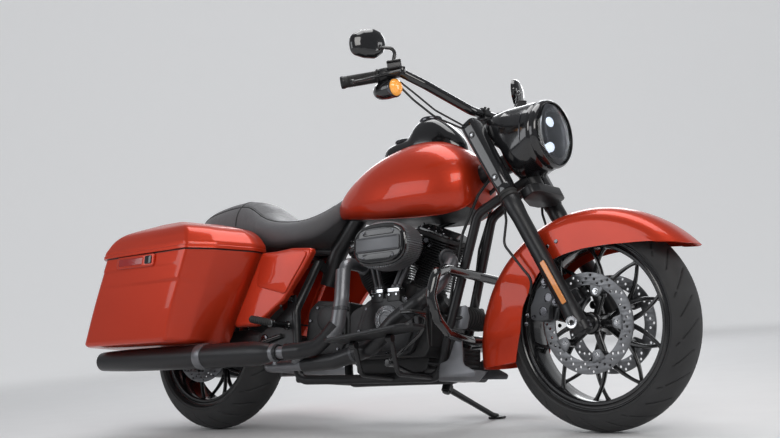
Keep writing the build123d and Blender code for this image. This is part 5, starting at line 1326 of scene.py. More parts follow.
def cam_side():
    outline = rounded_outline([(838, 244), (796, 330), (834, 424), (890, 452), (966, 452), (1044, 412),
                               (1062, 330), (1020, 244)], [40, 50, 30, 24, 30, 40, 50, 40], 8)
    plate = slab(outline, side_view(-108.3), 24, edge=4)
    inner = [(929 + (x - 929) * 0.84, 348 + (z - 348) * 0.84) for x, z in outline]
    raised = slab(inner, side_view(-131), 9, edge=3)
    blocks, tops = [], []
    for x in (891, 959):
        blocks.append(slab(rounded_outline([(x - 27, 420), (x - 25, 464), (x + 25, 464), (x + 27, 420)], 5,
                                           4), side_view(-110), 31, edge=3))
        tops.append(slab(rounded_outline([(x - 25, 452), (x - 24, 466), (x + 24, 466), (x + 25, 452)], 3,
                                         3), side_view(-110.5), 32, edge=1.5))
        for dx in (-15, 15):
            tops.append(bolt((x + dx, -142, 444), RIGHT, 4, 4))
    return joined(plate, raised, *blocks), joined(*tops)


cam, tappets = cam_side()
piece("cam_cover_cast", cam, SATIN_BLACK, "chassis", "cam_cover", 34)
piece("tappet_blocks", tappets, BRIGHT, "chassis")
place = frame_at((936, -139.5, 362), RIGHT)
dome = lathe([(0, 0), (47, 0), (48, 2), (47, 5), (43, 6), (42, 8), (44, 10), (43.5, 12.5), (38, 13.5),
              (36.5, 11.5), (32, 11.5), (30.5, 14), (25, 14.4), (23.5, 12), (14, 12), (12.5, 14), (0, 14)],
             place, 80)
piece("cam_dome_rings", dome, BAR_GREY, "chassis", corner=30)
piece("cam_dome_bands",
      joined(*[lathe([(r - 0.9, h), (r, h + 0.5), (r + 0.9, h), (r, h - 0.6)], place, 80, loop=True)
               for r, h in ((43.6, 12.4), (37.4, 13.5), (30.2, 14.1))]), BRIGHT, "chassis")
screws = bolts([(936 + 33.8 * cos(a), -150, 362 + 33.8 * sin(a)) for a in around(5, 0.5)], RIGHT, 3.6, 3.4)
rim = ((846, 262), (812, 330), (842, 404), (1008, 428), (1046, 372), (1044, 300), (1008, 262), (930, 252))
screws += bolts([(x, -132, z) for x, z in rim], RIGHT, 4.6, 6)
piece("cam_cover_bolts", joined(*screws), DARK_CHROME, "chassis")


def primary():
    """Left-hand primary drive housing with its round inspection cover."""
    shape = [(675 + 118 * cos(a), 318 + 118 * sin(a)) for a in np.linspace(pi / 2, 3 * pi / 2, 25)]
    shape += [(945 + 118 * cos(a), 326 + 118 * sin(a)) for a in np.linspace(-pi / 2, pi / 2, 25)]
    cover = skin([[(810 + (x - 810) * (1 - (1 - s) * 0.46), y, 322 + (z - 322) * s) for x, z in shape]
                  for y, s in (
        (122, 0.985), (126, 1.0), (176, 1.0), (188, 0.975), (198, 0.93), (204, 0.86), (206, 0.76))])
    derby = lathe([(0, 0), (78, 0), (78, 4), (75, 8), (70, 9), (68, 7), (40, 8.5), (0, 11)],
                  frame_at((664, 206, 318), LEFT), 72)
    inner = slab(rounded_outline([(630, 250), (630, 394), (1010, 394), (1010, 250)], 60, 6), side_view(122),
                 15.6)
    screws = bolts([(664 + x, 213.5, 318 + z) for x, z in (polar(62, 60 * index) for index in range(6))],
                   LEFT, 4.2, 3)
    rim = ((700, 428), (790, 432), (880, 434), (960, 430), (1046, 360), (1042, 276), (960, 216), (860, 212),
           (760, 212))
    screws += bolts([(810 + (x - 810) * 0.965, 190, 322 + (z - 322) * 0.93) for x, z in rim], LEFT, 4.6, 8)
    return joined(cover, inner), derby, joined(*screws)


cover, derby, screws = primary()
piece("primary_housing", cover, GLOSS_BLACK, "chassis", "primary_cover", 40)
piece("primary_derby", derby, GLOSS_BLACK, "chassis", "primary_cover")
piece("primary_bolts", screws, DARK_CHROME, "chassis")


# ---- air cleaner
AIR = Vector((968, 0, 598))
MIDDLE = (AIR.x, AIR.z)


def air_ring(y, half_x, half_z, power=2.0):
    return [(AIR.x + a, y, AIR.z + b) for a, b in oval(half_x, half_z, power, 96)]


def air_cleaner():
    back = skin([air_ring(y, a, b) for y, a, b in ((-130, 92, 60), (-132, 98, 66), (-141, 101, 69),
                                                   (-143, 98, 66))])
    pleats = []
    fold = (1.0, 1.0, 0.93, 0.93)
    for y, grow in ((-146, 0.94), (-150, 0.985), (-158, 1.0), (-208, 1.0), (-219, 0.985), (-225, 0.95)):
        outline = oval(118 * grow, 79 * grow, 2.25, 4 * 84)
        pleats.append([(AIR.x + a * fold[k % 4], y, AIR.z + b * fold[k % 4])
                       for k, (a, b) in enumerate(outline)])
    element = skin(pleats)
    ring = skin([air_ring(y, a, b, 2.7) for y, a, b in ((-222, 98, 62), (-223, 104, 68), (-227, 107, 71),
                                                        (-231, 106, 70), (-233.5, 102, 66),
                                                        (-232, 98, 62))])
    throat = joined(tube([(925, 0, 590), (925, -80, 590), (925, -131, 592)], 29, 20, 28),
                    rod((868, 0, 590), (982, 0, 590), 24, 28))
    return back, element, ring, throat


back, element, ring, throat = air_cleaner()
piece("air_cleaner_back", joined(back, throat), WRINKLE_BLACK, "chassis", "air_cleaner")
piece("air_cleaner_element", element, CLEAT_GREY, "chassis", "air_cleaner", corner=10)
piece("air_cleaner_ring", ring, GLOSS_BLACK, "chassis", "air_cleaner", corner=40)
face = skin([air_ring(y, a, b, 2.9) for y, a, b in ((-231, 96, 60), (-234, 97.5, 61.5), (-237.5, 95, 59.5),
                                                    (-238.6, 91, 56), (-238.8, 60, 36), (-238.9, 10, 6))])
upper = [(AIR.x - 70, AIR.z + 30), (AIR.x + 70, AIR.z + 30), (AIR.x + 48, AIR.z + 50),
         (AIR.x - 48, AIR.z + 50)]
lower = [(AIR.x - 48, AIR.z - 50), (AIR.x + 48, AIR.z - 50), (AIR.x + 70, AIR.z - 30),
         (AIR.x - 70, AIR.z - 30)]
panels = [slab(rounded_outline(panel, 5, 4), side_view(-237.5), 4, edge=1.4) for panel in (upper, lower)]
piece("air_cleaner_face", joined(face, *panels), GLOSS_BLACK, "chassis", "air_cleaner_cover",
      36)
piece("air_cleaner_bar", slab(rectangle(88, 25, 7, 5, MIDDLE), side_view(-238), 7, edge=2), BAR_GREY,
      "chassis", "air_cleaner_cover")
trim = [slab(rectangle(83, 1.8, 1.5, 3, (AIR.x, AIR.z + z)), side_view(-245), 1.6, edge=0.5)
        for z in (-20.5, 20.5)]
piece("air_cleaner_trim", joined(*trim), CAST_GREY, "chassis")
screws = bolts([(AIR.x + x, -238, AIR.z + z) for z in (40, -40) for x in (-60, 60)], RIGHT, 4.6, 3.4)
piece("air_cleaner_screws", joined(*screws), DARK_CHROME, "chassis")


# ---- horn, exhaust
cup = lathe([(0, 150), (40, 150), (48, 154), (58, 164), (64, 176), (66, 184), (64, 190), (54, 195),
             (30, 199), (0, 200)], frame_at((925, 0, 590), LEFT), 72)
piece("horn_cup", cup, GLOSS_BLACK, "chassis", "horn", 50)
piece("horn_stalk", joined(rod((925, 46, 590), (925, 151, 590), 12), box((925, 46, 590), (110, 8, 34), 2)),
      SATIN_BLACK, "chassis", "horn")


# side and front end of each
MUFFLERS = ((-1, 600.0), (1, 320.0))


def muffler_line(side):
    """Local z forward along a muffler, from above the rear axle."""
    return frame_at((0, side * 300, 257), FORWARD)


def muffler(start, side):
    body = [(0, start), (27, start), (27, start - 30), (30, start - 38), (36, start - 60), (41, start - 90),
            (43, start - 124), (43, 256), (43, -60), (42, -180), (39, -280), (36.6, -333), (36, -338),
            (33.5, -338), (31, -300), (29, -250), (0, -248)]
    return lathe(body, muffler_line(side), 72)


piece("muffler_bodies", joined(*[muffler(start, side) for side, start in MUFFLERS]), SATIN_BLACK, "chassis",
      "mufflers", 40)
rings = []
for side, start in MUFFLERS:
    place = muffler_line(side)
    low = 214 if side < 0 else 150
    rings.append(lathe([(43, low), (45.5, low + 1), (46.5, low + 4), (46.5, low + 34), (45.5, low + 37),
                        (43, low + 38)], place, 72, loop=True))
    rings.append(lathe([(30, start - 26), (31.5, start - 25), (31.5, start - 10), (30, start - 9),
                        (26, start - 9), (26, start - 26)], place, 48, loop=True))
    rings.append(box((start - 18, side * 300, 257 - 36), (16, 10, 12), 2))
piece("muffler_rings", joined(*rings), PIPE_GREY, "chassis", corner=40)

rear_route = [(796, -86, 560), (796, -196, 556), (810, -226, 430), (800, -236, 330), (740, -270, 270),
              (660, -300, 257), (600, -300, 257)]
front_route = [(1112, -64, 566), (1160, -88, 548), (1168, -168, 462), (1122, -228, 396), (1040, -238, 344),
               (950, -242, 262), (800, -244, 226), (640, -236, 218)]
cross_route = [(640, -236, 218), (470, -224, 218), (440, -120, 222), (440, 120, 222), (430, 250, 228),
               (380, 300, 250), (340, 300, 257), (320, 300, 257)]
headers = joined(tube(rear_route, 21, [40, 60, 60, 60, 50], 32, 10),
                 tube(front_route, 21, [36, 50, 50, 60, 60, 60], 32, 10),
                 tube(cross_route, 20, [60, 60, 60, 50, 30, 10], 28, 10),
                 tube([(690, -286, 257), (650, -256, 240), (600, -226, 220)], 16, 20, 24))
piece("exhaust_headers", headers, PIPE_GREY, "chassis", "exhaust_pipes", 50)


def heat_shield(points, radius, bend, spread):
    """Curved shield over the outer side of a pipe, that many degrees each way."""
    path = rounded_path(points, bend, 10)
    grids = []
    for reach in (radius + 2.0, radius):
        grid = []
        for point, ahead in zip(path, headings(path)):
            out = Vector(RIGHT)
            out = (out - ahead * out.dot(ahead)).normalized()
            other = ahead.cross(out)
            grid.append([point + (out * cos(a) + other * sin(a)) * reach
                         for a in (radians(t) for t in np.linspace(-spread, spread, 22))])
        grids.append(grid)
    return closed_shell(*grids)


shield_front = heat_shield([(1144, -204, 424), (1122, -228, 396), (1040, -238, 344), (950, -242, 262),
                            (800, -244, 226), (662, -238, 219)], 25.5, [30, 60, 60, 60], 96)
shield_rear = heat_shield([(798, -206, 528), (810, -226, 430), (800, -236, 330), (776, -252, 298)], 25,
                          [60, 50], 100)
shield_link = heat_shield([(796, -238, 340), (770, -254, 300), (740, -270, 270), (690, -290, 260),
                           (632, -300, 257)], 26, [60, 50, 40], 88)
piece("heat_shields", joined(shield_front, shield_link), SATIN_BLACK, "chassis",
      corner=40)
piece("rear_heat_shield", shield_rear, PIPE_GREY, "chassis", corner=40)
flanges = [lathe([(21, -4), (29, -4), (31, 0), (31, 7), (27, 10), (22, 10)], frame_at(p, d), 36, loop=True)
           for p, d in (((796, -92, 560), RIGHT), ((1122, -69, 562), (0.86, -0.43, -0.28)))]
band_places = (((808, -229, 396), (-0.1, 0.05, 1)), ((1080, -233, 370), (0.84, 0.1, 0.53)),
               ((880, -243, 244), (1, 0, 0.3)))
bands = [lathe([(27.2, -6), (28.6, -5), (28.6, 5), (27.2, 6)], frame_at(p, d), 36, loop=True)
         for p, d in band_places]
piece("exhaust_flanges", joined(*flanges, *bands), CAST_GREY, "chassis")


# ---- fuel tank and console
TANK = ((613, 764, 776, 8, 770), (622, 757, 790, 30, 773), (655, 751, 828, 62, 781),
        (700, 744, 870, 93, 786), (770, 732, 917, 120, 788), (840, 721, 950, 138, 788),
        (920, 712, 974, 150, 789), (1000, 705, 985, 157.5, 791), (1070, 702, 981, 156.5, 794),
        (1130, 703, 962, 149, 797), (1182, 712, 927, 131, 802), (1212, 728, 892, 109, 806),
        (1226, 752, 862, 82, 808), (1231, 784, 836, 42, 810))


def table_values(table, x):
    """The other columns of a table at that value of its first one."""
    where = [row[0] for row in table]
    return [smooth([row[k] for row in table], where, x) for k in range(1, len(table[0]))]


def tank_ring(x, low, high, half, wide, count=20):
    base = 0.60 * half
    right = [(base * u, low) for u in np.linspace(0, 1, 6)[:-1]]
    for u in np.linspace(0, 1, count):
        a = 0.5 * pi * u
        right.append((base + (half - base) * sin(a) ** 0.9, low + (wide - low) * (1 - cos(a))))
    for u in np.linspace(0, 1, 2 * count)[1:]:
        a = 0.5 * pi * u
        right.append((half * cos(a) ** 0.86, wide + (high - wide) * sin(a) ** 0.97))
    left = [(-y, z) for y, z in reversed(right[1:-1])]
    return [(x, y, z) for y, z in right + left]


def tank():
    xs = [613, 616, 622, 632] + list(np.linspace(645, 1180, 44)) + [1192, 1202, 1210, 1217, 1223, 1227,
                                                                    1230, 1231]
    rows = [(x, *table_values(TANK, x)) for x in xs]
    lip = [[Vector((x, -0.64 * half, low + 1.5)) + Vector((0, a, b)) for a, b in ((-4.5, -1.2), (-4.5, 1.2),
                                                                                  (4, 1.4), (4, -1.4))]
           for x, low, _, half, _ in rows[2:-2]]
    return skin([tank_ring(*row) for row in rows]), both_sides(skin(lip))


body, lip = tank()
piece("fuel_tank_shell", body, PAINT, "chassis", "fuel_tank", 50)
piece("fuel_tank_seam", lip, PAINT, "chassis", "fuel_tank")
# black sheet just under the tank: painted shade, standing where the tank's own painted underside lies in shadow
painted_shade_sheet = []
for x in np.linspace(650, 1206, 30):
    low, _, half, _ = table_values(TANK, x)
    painted_shade_sheet.append([(x, y, z) for y, z in ((-0.63 * half, low - 0.8), (0.63 * half, low - 0.8),
                                         (0.60 * half, low + 2), (-0.60 * half, low + 2))])
piece("fuel_tank_painted_shade", skin(painted_shade_sheet), WRINKLE_BLACK, "chassis", "fuel_tank")


CONSOLE = ((829, 950, 14, 952), (833, 974, 26, 950), (842, 988, 36, 948), (860, 997, 44, 946),
           (890, 1004, 49, 944), (925, 1009, 52, 944), (946, 1018, 54, 944), (960, 1036, 56, 944),
           (974, 1054, 59, 944), (990, 1066, 61, 944), (1012, 1071, 63, 944), (1040, 1070, 63, 944),
           (1064, 1063, 61, 942), (1090, 1047, 56, 938), (1116, 1025, 48, 932), (1138, 1001, 38, 924),
           (1154, 976, 26, 916), (1162, 956, 14, 914))


def console():
    """Black console down the tank's crown: low at the filler, with the gauge's pod standing up in front."""
    rings = []
    for x in [829, 831, 834] + list(np.linspace(838, 1156, 60)) + [1159, 1162]:
        top, half, foot = table_values(CONSOLE, x)
        arch = [(copysign(half * abs(cos(a)) ** 0.62, cos(a)), foot + (top - foot) * abs(sin(a)) ** 0.62)
                for a in np.linspace(0, pi, 41)]
        rings.append([(x, y, z) for y, z in arch])
    return skin(rings)


piece("console_shell", console(), GLOSS_BLACK, "chassis", "tank_console", 50)
tilt = frame_at((1018, 0, 1068), (-0.10, 0, 1))
piece("gauge_bezel", lathe([(34, -6), (41, -6), (42.5, -2), (42.5, 4), (40.5, 7), (37.5, 7.6), (35.6, 5.5),
                            (34.6, 1.5), (34, 1)], tilt, 72, loop=True), DARK_CHROME, "chassis")
piece("gauge_glass", lathe([(35.5, 1), (35.2, 4.2), (30, 5.4), (0, 6)], tilt, 64), FACE_GLASS, "chassis")
marks = []
for index in range(31):
    a = radians(-130 + 260 * index / 30)
    long = 5.0 if index % 5 == 0 else 2.6
    marks.append(box((0, 0, 0), (0.9, long, 0.5), 0.2,
                     tilt @ Matrix.Rotation(-a, 4, "Z") @ Matrix.Translation((0, 31 - long / 2, 5.6))))
marks.append(box((0, 0, 0), (1.2, 20, 0.5), 0.2,
                 tilt @ Matrix.Rotation(1.9, 4, "Z") @ Matrix.Translation((0, 12, 6.4))))
piece("gauge_marks", joined(*marks), BRIGHT, "chassis")
cap_at = frame_at((906, 0, 1001), (-0.10, 0, 1))
cap_ring = []
for h, r, dent in ((0, 33, 0), (2, 36, 0), (5, 36, 1.6), (11, 36, 1.6), (13, 35, 0.6), (14.5, 32, 0),
                   (14.5, 0.2, 0)):
    cap_ring.append([cap_at @ Vector(((r - dent * (k % 2)) * cos(a), (r - dent * (k % 2)) * sin(a), h))
                     for k, a in enumerate(around(72))])
piece("filler_cap", skin(cap_ring), DARK_CHROME, "chassis", corner=25)
piece("console_screws", joined(*bolts(((866, 0, 998), (946, -24, 1014), (946, 24, 1014)), UP, 4.2, 3)),
      DARK_CHROME, "chassis")


# ---- seat
# station: x, underside, crown, half width, height of the widest line
SEAT = ((-66, 716, 782, 40, 748), (-58, 706, 818, 74, 748), (-34, 702, 843, 103, 748),
        (16, 702, 863, 124, 752), (90, 702, 876, 135, 758), (160, 700, 882, 141, 762),
        (222, 694, 880, 144, 764), (262, 682, 866, 148, 758), (300, 672, 838, 153, 746),
        (340, 668, 808, 160, 734), (390, 666, 785, 167, 722), (440, 665, 773, 170.5, 712),
        (500, 665, 766, 169, 708), (550, 670, 769, 157, 712), (590, 686, 784, 130, 730),
        (622, 712, 804, 102, 752), (650, 742, 826, 76, 778), (672, 776, 843, 50, 806),
        (684, 800, 842, 26, 820))


# share of the half width where the piping runs
WELT = 0.80


def seat_ring(x, count=26):
    low, high, half, wide = table_values(SEAT, x)
    dish = 16 * ease(330, 430, x) * (1 - ease(540, 610, x)) + 5 * ease(-20, 60, x) * (1 - ease(200, 262, x))
    right = [(WELT * half * u, low) for u in np.linspace(0, 1, 5)[:-1]]
    for u in np.linspace(0, 1, 8)[:-1]:
        a = 0.5 * pi * u
        right.append((half * (WELT + 0.20 * sin(a)), low + (wide - low) * (1 - cos(a))))
    for u in np.linspace(0, 1, count):
        a = 0.5 * pi * u
        y = half * cos(a) ** 0.80
        z = wide + (high - wide) * sin(a) ** 0.92
        z -= dish * max(0.0, 1 - (y / (0.62 * half)) ** 2) ** 1.5
        seam = abs(y / half - WELT)
        z -= 2.6 * (1 - ease(0.0, 0.035, seam)) * ease(0.2, 0.5, u)
        right.append((y, z))
    left = [(-y, z) for y, z in reversed(right[1:-1])]
    return [(x, y, z) for y, z in right + left]


def seat():
    rings = []
    for x in [-66, -64, -60, -52, -42] + list(np.linspace(-30, 664, 90)) + [670, 676, 681, 684]:
        ring = seat_ring(x)
        # two sewn lines cross the seat: where the pillion's pad ends and behind the rider's
        for line in (268, 318):
            depth = 3.4 * (1 - ease(0, 5.0, abs(x - line)))
            if depth > 0:
                wide = table_values(SEAT, x)[3]
                ring = [(px, py * (1 - 0.012 * (depth > 1)), pz - depth * ease(wide - 30, wide + 20, pz))
                        for px, py, pz in ring]
        rings.append(ring)
    return skin(rings)


seat_piece = piece("seat_leather_cover", seat(), LEATHER, "chassis", "seat", 60, rounded=1)


def seam_path(side, share, lift):
    """Line on the seat's top at that share of its half width."""
    points = []
    a = acos(share ** (1 / 0.80))
    for x in np.linspace(-40, 640, 120):
        _, high, half, wide = table_values(SEAT, x)
        points.append(Vector((x, side * share * half, wide + (high - wide) * sin(a) ** 0.92 + lift)))
    return points


piping, stitches = [], []
for side in (-1, 1):
    route = seam_path(side, WELT, -1.2)
    piping.append(skin([[frame_at(p, ahead, UP) @ Vector((x, y, 0)) for x, y in circle(1.9, count=10)]
                        for p, ahead in zip(route, headings(route))]))
    route = seam_path(side, 0.765, 0.5)
    total = 0.0
    for a, b in zip(route, route[1:]):
        total += (b - a).length
        if total > 6.5:
            total = 0.0
            stitches.append(lathe([(0, 0), (0.9, 0.6), (0.9, 3.8), (0, 4.4)], frame_at(a, b - a, UP), 6))
piece("seat_piping", joined(*piping), RUBBER, "chassis", corner=50)

# black joint between the rider's seat and the pillion's, from one skirt over the top to the other
crossing = [Vector(p) - Vector((0, 0, 1.0)) for p in seat_ring(206, 40) if p[2] > table_values(SEAT, 206)[3]
            - 4]
crossing.sort(key=lambda p: -p.y)
piece("seat_joint_line", tube(crossing, 2.8, 3, 10, 2), RUBBER, "chassis", corner=50)
piece("seat_stitches", joined(*stitches), CAST_GREY, "chassis", corner=60)


# ---- saddlebags
BAG_IN, BAG_OUT, BAG_FLOOR, BAG_SEAM = 176.0, 420.0, 306.0, 632.0


BAG_RADII = (14, 34, 34, 30, 90, 60, 14)


def bag_ring(z, rear, front_out, front_in, flare, inset=0.0):
    outer, inner = BAG_OUT + flare - inset, BAG_IN + inset
    corners = [(rear + inset, -inner), (rear + inset, -outer + 36), (rear + inset + 36, -outer),
               (front_out - inset, -outer), (0.5 * (front_out + front_in) - inset, -outer + 70),
               (front_in - inset, -inner - 60), (front_in - inset, -inner)]
    return [(x, y, z) for x, y in rounded_outline(corners, [max(3.0, r - inset) for r in BAG_RADII], 7)]


def bag_body():
    """Open-topped case: outer skin up, over the rim and down inside."""
    rings = []
    for z in [306, 307, 309.5, 313, 318] + list(np.arange(326, 627, 5.0)) + [629, 631, 632]:
        t = (z - BAG_FLOOR) / (BAG_SEAM - BAG_FLOOR)
        belly = 4.0 * sin(pi * t)
        edge = 9.0 * max(0.0, 1 - (z - 306) / 12) ** 2
        ring = bag_ring(z, -348 + 120 * t + edge, 150 + 102 * t - edge, 236 + 168 * t - edge,
                        8 * t + belly - edge)
        shaped = []
        for x, y, h in ring:
            if y < -300:
                line = 579 - 0.144 * (x + 165)
                y += 3.2 * (1 - ease(line - 5, line + 2, h)) * ease(300, 380, -y)
            shaped.append((x, y, h))
        rings.append(shaped)
    for z in (632, 500, 400, 320, 311):
        t = (z - BAG_FLOOR) / (BAG_SEAM - BAG_FLOOR)
        rings.append(bag_ring(z, -348 + 120 * t, 150 + 102 * t, 236 + 168 * t, 8 * t, 6.0))
    return skin(rings)


def bag_lid():
    """Crowned lid with an overhanging lip, hollow below."""
    # height, rear end, front end at the outer and inner wall, flare
    table = ((632.3, -238, 258, 412, 16), (662.3, -232, 256, 408, 14), (720, -160, 226, 340, -8),
             (752, -10, 150, 220, -60))
    rings = [bag_ring(z, *table_values(table, z), 7.0) for z in (746, 735, 700, 660, 633)]
    for z in [632.3, 633.2, 636, 643, 645.5, 647.5, 652] + list(np.linspace(660, 738, 20)) + [742, 746, 749,
                                                                                              751, 752]:
        lip = 1.6 if z == 632.3 else 2.4 if z > 645 else 0.0
        rear, front_out, front_in, flare = table_values(table, z)
        rings.append(bag_ring(z, rear + lip, front_out - lip, front_in - lip, flare - lip))
    return skin(rings)


bag, lid = bag_body(), bag_lid()
piece("saddlebag_shells", both_sides(bag), PAINT, "chassis", "saddlebags", 34)
piece("bag_lid_right_crown", lid, PAINT, "bag_lid_right", "bag_lid_right", 34)
piece("bag_lid_left_crown", mirrored(lid), PAINT, "bag_lid_left", "bag_lid_left", 34)
seal = [bag_ring(z, -228 + s, 252 - s, 404 - s, 8 - s) for z, s in ((628.5, -0.6), (631.8, -0.6),
                                                                    (631.9, 6), (628.4, 6))]
piece("bag_seals", both_sides(skin(seal, caps=False, loop=True)), RUBBER, "chassis")


def bag_fittings():
    """Reflector and latch on the outer face, with the latch's pull on the lid's lip."""
    face = BAG_OUT + 8.5
    outline = rounded_outline([(-122, 586), (90, 582), (94, 629), (-118, 630)], [14, 12, 8, 10], 5)
    housings = [slab(outline, side_view(-face + 8), 16, edge=4)]
    inner = rounded_outline([(-108, 595), (28, 592), (32, 619), (-105, 621)], 6, 5)
    housings.append(slab([(x * 1.04 + 1.4, 607 + (z - 607) * 1.22) for x, z in inner], side_view(-face - 7),
                         2.4, [list(reversed(inner))], edge=0.8))
    lens = slab(inner, side_view(-face - 7.4), 2.0, edge=0.9)
    pull = slab(rounded_outline([(44, 592), (80, 591), (82, 622), (46, 622)], 6, 5), side_view(-face - 6),
                6, edge=1.8)
    return joined(*housings), lens, pull


housing, lens, pull = bag_fittings()
piece("bag_latch_frames", both_sides(housing), PAINT, "chassis", corner=34)
piece("bag_reflectors", both_sides(lens), LENS_RED, "chassis")
piece("bag_latch_pulls", both_sides(pull), GLOSS_BLACK, "chassis")

rail = tube([(480, -165, 330), (330, -167, 297.7), (200, -206, 297.7), (-190, -206, 297.7),
             (-236, -158, 297.7), (-292, -134, 350), (-306, -120.3, 420)], 8, [40, 40, 24, 24, 30], 20, 8)
piece("bag_rails_bent", both_sides(rail), GLOSS_BLACK, "chassis", "bag_rails", 50)


def side_cover():
    outline = rounded_outline([(418, 628), (490, 627), (568, 632), (668, 622), (622, 557), (573, 501),
                               (529, 447), (473, 412), (426, 376), (395, 365), (282, 365)],
                              [10, 60, 60, 14, 60, 60, 50, 40, 30, 20, 12], 5)
    panel = skin([[(470 + (x - 470) * s, y, 520 + (z - 520) * s) for x, z in outline] for y, s in (
        (-190, 1.0), (-203, 1.0), (-208, 0.992), (-211.5, 0.975), (-213.5, 0.945), (-214, 0.90))])
    raised = rounded_outline([(398, 508), (424, 614), (490, 617), (568, 621), (646, 613), (612, 564),
                              (566, 506), (540, 468)], [20, 12, 60, 60, 12, 60, 60, 20], 5)
    return joined(panel, slab(raised, side_view(-212.5), 6.5, edge=3.2))


piece("side_cover_panels", both_sides(side_cover()), PAINT, "chassis", "side_covers", 34)
dots = [lathe([(5, -1), (5, 1.5), (3.6, 2.6), (0, 2.8)], frame_at((x, -212.4, z), RIGHT), 20)
        for x, z in ((585, 600), (520, 428))]
studs = rod((516, -191, 458), (516, -156.8, 458), 8)
piece("side_cover_grommets", both_sides(joined(*dots, studs)), RUBBER, "chassis", "side_covers")


# ---- rear fender, lamps and plate
REAR_FENDER_R = 372


def rear_fender():
    def low(angle):
        return 300.0 - 6 * ease(120, 178, angle)

    return closed_shell(*arched(REAR_AXLE, REAR_FENDER_R, 112, 44, 3.0, np.linspace(26.0, 178.0, 100), low,
                                37))


piece("rear_fender_valanced", rear_fender(), PAINT, "chassis", "rear_fender", 40)


def fender_tail(z):
    return REAR_AXLE.x - sqrt(REAR_FENDER_R ** 2 - (z - REAR_AXLE.z) ** 2)


def tail():
    """Tail lamp, signals on their bar, and the number plate's blank."""
    x = fender_tail(520) - 22

    def lamp(sections):
        return skin([[(x + d, a, 520 + b) for a, b in oval(half_y, half_z, power, 56)]
                     for d, half_y, half_z, power in sections])

    housing = lamp(((30, 50, 24, 3), (10, 58, 29, 3.4), (-14, 60, 30, 3.6), (-17, 59, 29, 3.6)))
    red = [lamp(((-16, 55, 25.5, 3.6), (-24, 54, 24.5, 3.6), (-30, 50, 21, 3.2), (-33, 40, 14, 2.8),
                 (-34, 12, 4, 2.2)))]
    bar_x = fender_tail(440) - 43
    black = [tube([(bar_x, -150, 440), (bar_x, 150, 440)], 9, 10, 24),
             box((bar_x + 18, 0, 440), (62, 56, 24), 4)]
    chrome = []
    for side in (-1, 1):
        place = frame_at((bar_x, side * 176, 440), (-1, 0, 0), LEFT)
        black.append(lathe([(0, -32), (10, -31), (20, -24), (26, -8), (27, 4), (27, 20), (24, 21), (0, 21)],
                           place, 40))
        chrome.append(lathe([(26.8, 17), (27.6, 19), (27.4, 23), (25, 24), (24.4, 20)], place, 40,
                            loop=True))
        red.append(lathe([(24.6, 20), (24.2, 24), (20, 29), (10, 31.5), (0, 32)], place, 40))
    face = fender_tail(368) - 30
    holes = [circle(3.5, (y, 368), 20) for y in (-73, 73)]
    view = Matrix(((0, 0, -1, face + 4), (-1, 0, 0, 0), (0, 1, 0, 0), (0, 0, 0, 1)))
    plate = [slab(rectangle(92, 55, 9, 6, (0, 362)), view, 4, holes, edge=1.2),
             box((face + 10, 0, 405), (20, 38, 46), 3)]
    return housing, joined(*red), joined(*black), joined(*chrome), joined(*plate)


housing, red, black, chrome, plate = tail()
piece("tail_lamp_housing", housing, GLOSS_BLACK, "chassis", "tail_lamp", 40)
piece("tail_lamp_lenses", red, LENS_RED, "chassis", ("tail_lamp", "rear_signals"), 50)
piece("rear_signal_bar", black, GLOSS_BLACK, "chassis", "rear_signals", 40)
piece("rear_signal_rings", chrome, DARK_CHROME, "chassis")
piece("plate_blank", plate, SATIN_BLACK, "chassis", "plate_bracket")


# ---- chassis: swingarm, shocks and small running gear
ARM_Y = 135.0
SHOCK_TOP, SHOCK_FOOT = Vector((150, -153.8, 566)), Vector((58, -153.8, REAR_AXLE.z))


def swingarm():
    """Tapered box arms with rounded edges, a cross tube, and the axle blocks with their adjusters."""
    arms, adjusters = [], []
    hub = REAR_AXLE.z
    low, high = hub - 22, hub + 22
    outline = rounded_outline([(368, 301), (402, 302), (404, 344), (300, high + 12), (40, high + 4),
                               (-46, high - 2), (-46, low + 2), (40, low - 6), (300, low - 6)],
                              [14, 14, 14, 60, 30, 12, 12, 30, 60], 6)
    for side in (-1, 1):
        arms.append(slab(outline, side_view(side * ARM_Y + 11), 22, [circle(12.4, (0, hub), 32)], edge=4))
        adjusters.append(box((-20, side * (ARM_Y + 11.2), hub), (46, 1.6, 30), 0.6))
        adjusters.append(rod((-45, side * ARM_Y, hub), (-49, side * ARM_Y, hub), 5))
        arms.append(rod((58, side * ARM_Y, hub), (58, side * 163.3, hub), 9))
        arms.append(lathe([(15, 11), (15, 13), (13, 14), (9, 14)],
                          frame_at((58, side * ARM_Y, hub), (0, side, 0)), 28))
    arms.append(rod((392, -149.2, 322), (392, 149.2, 322), 23, 36))
    return joined(*arms), joined(*adjusters)


arms, adjusters = swingarm()
piece("swingarm_beams", arms, SATIN_BLACK, "chassis", "swingarm", 34)
piece("chain_adjusters", adjusters, DARK_CHROME, "chassis")
pivot_caps = [lathe([(17, 0), (17, 3), (14, 5), (9, 5), (8, 2), (0, 2)],
                    frame_at((392, side * 156.5, 322), (0, side, 0)), 30) for side in (-1, 1)]
piece("pivot_caps", joined(*pivot_caps), DARK_CHROME, "chassis")
rear_axle = lathe([(0, 150), (9, 150), (9, 154), (17, 154), (17, 146), (12.4, 146), (12.4, -146),
                   (19, -146), (19, -154), (12, -157), (0, -157)], axle_line(REAR_AXLE), 40)
piece("rear_axle_bolt", rear_axle, BRIGHT, "chassis", "rear_axle")


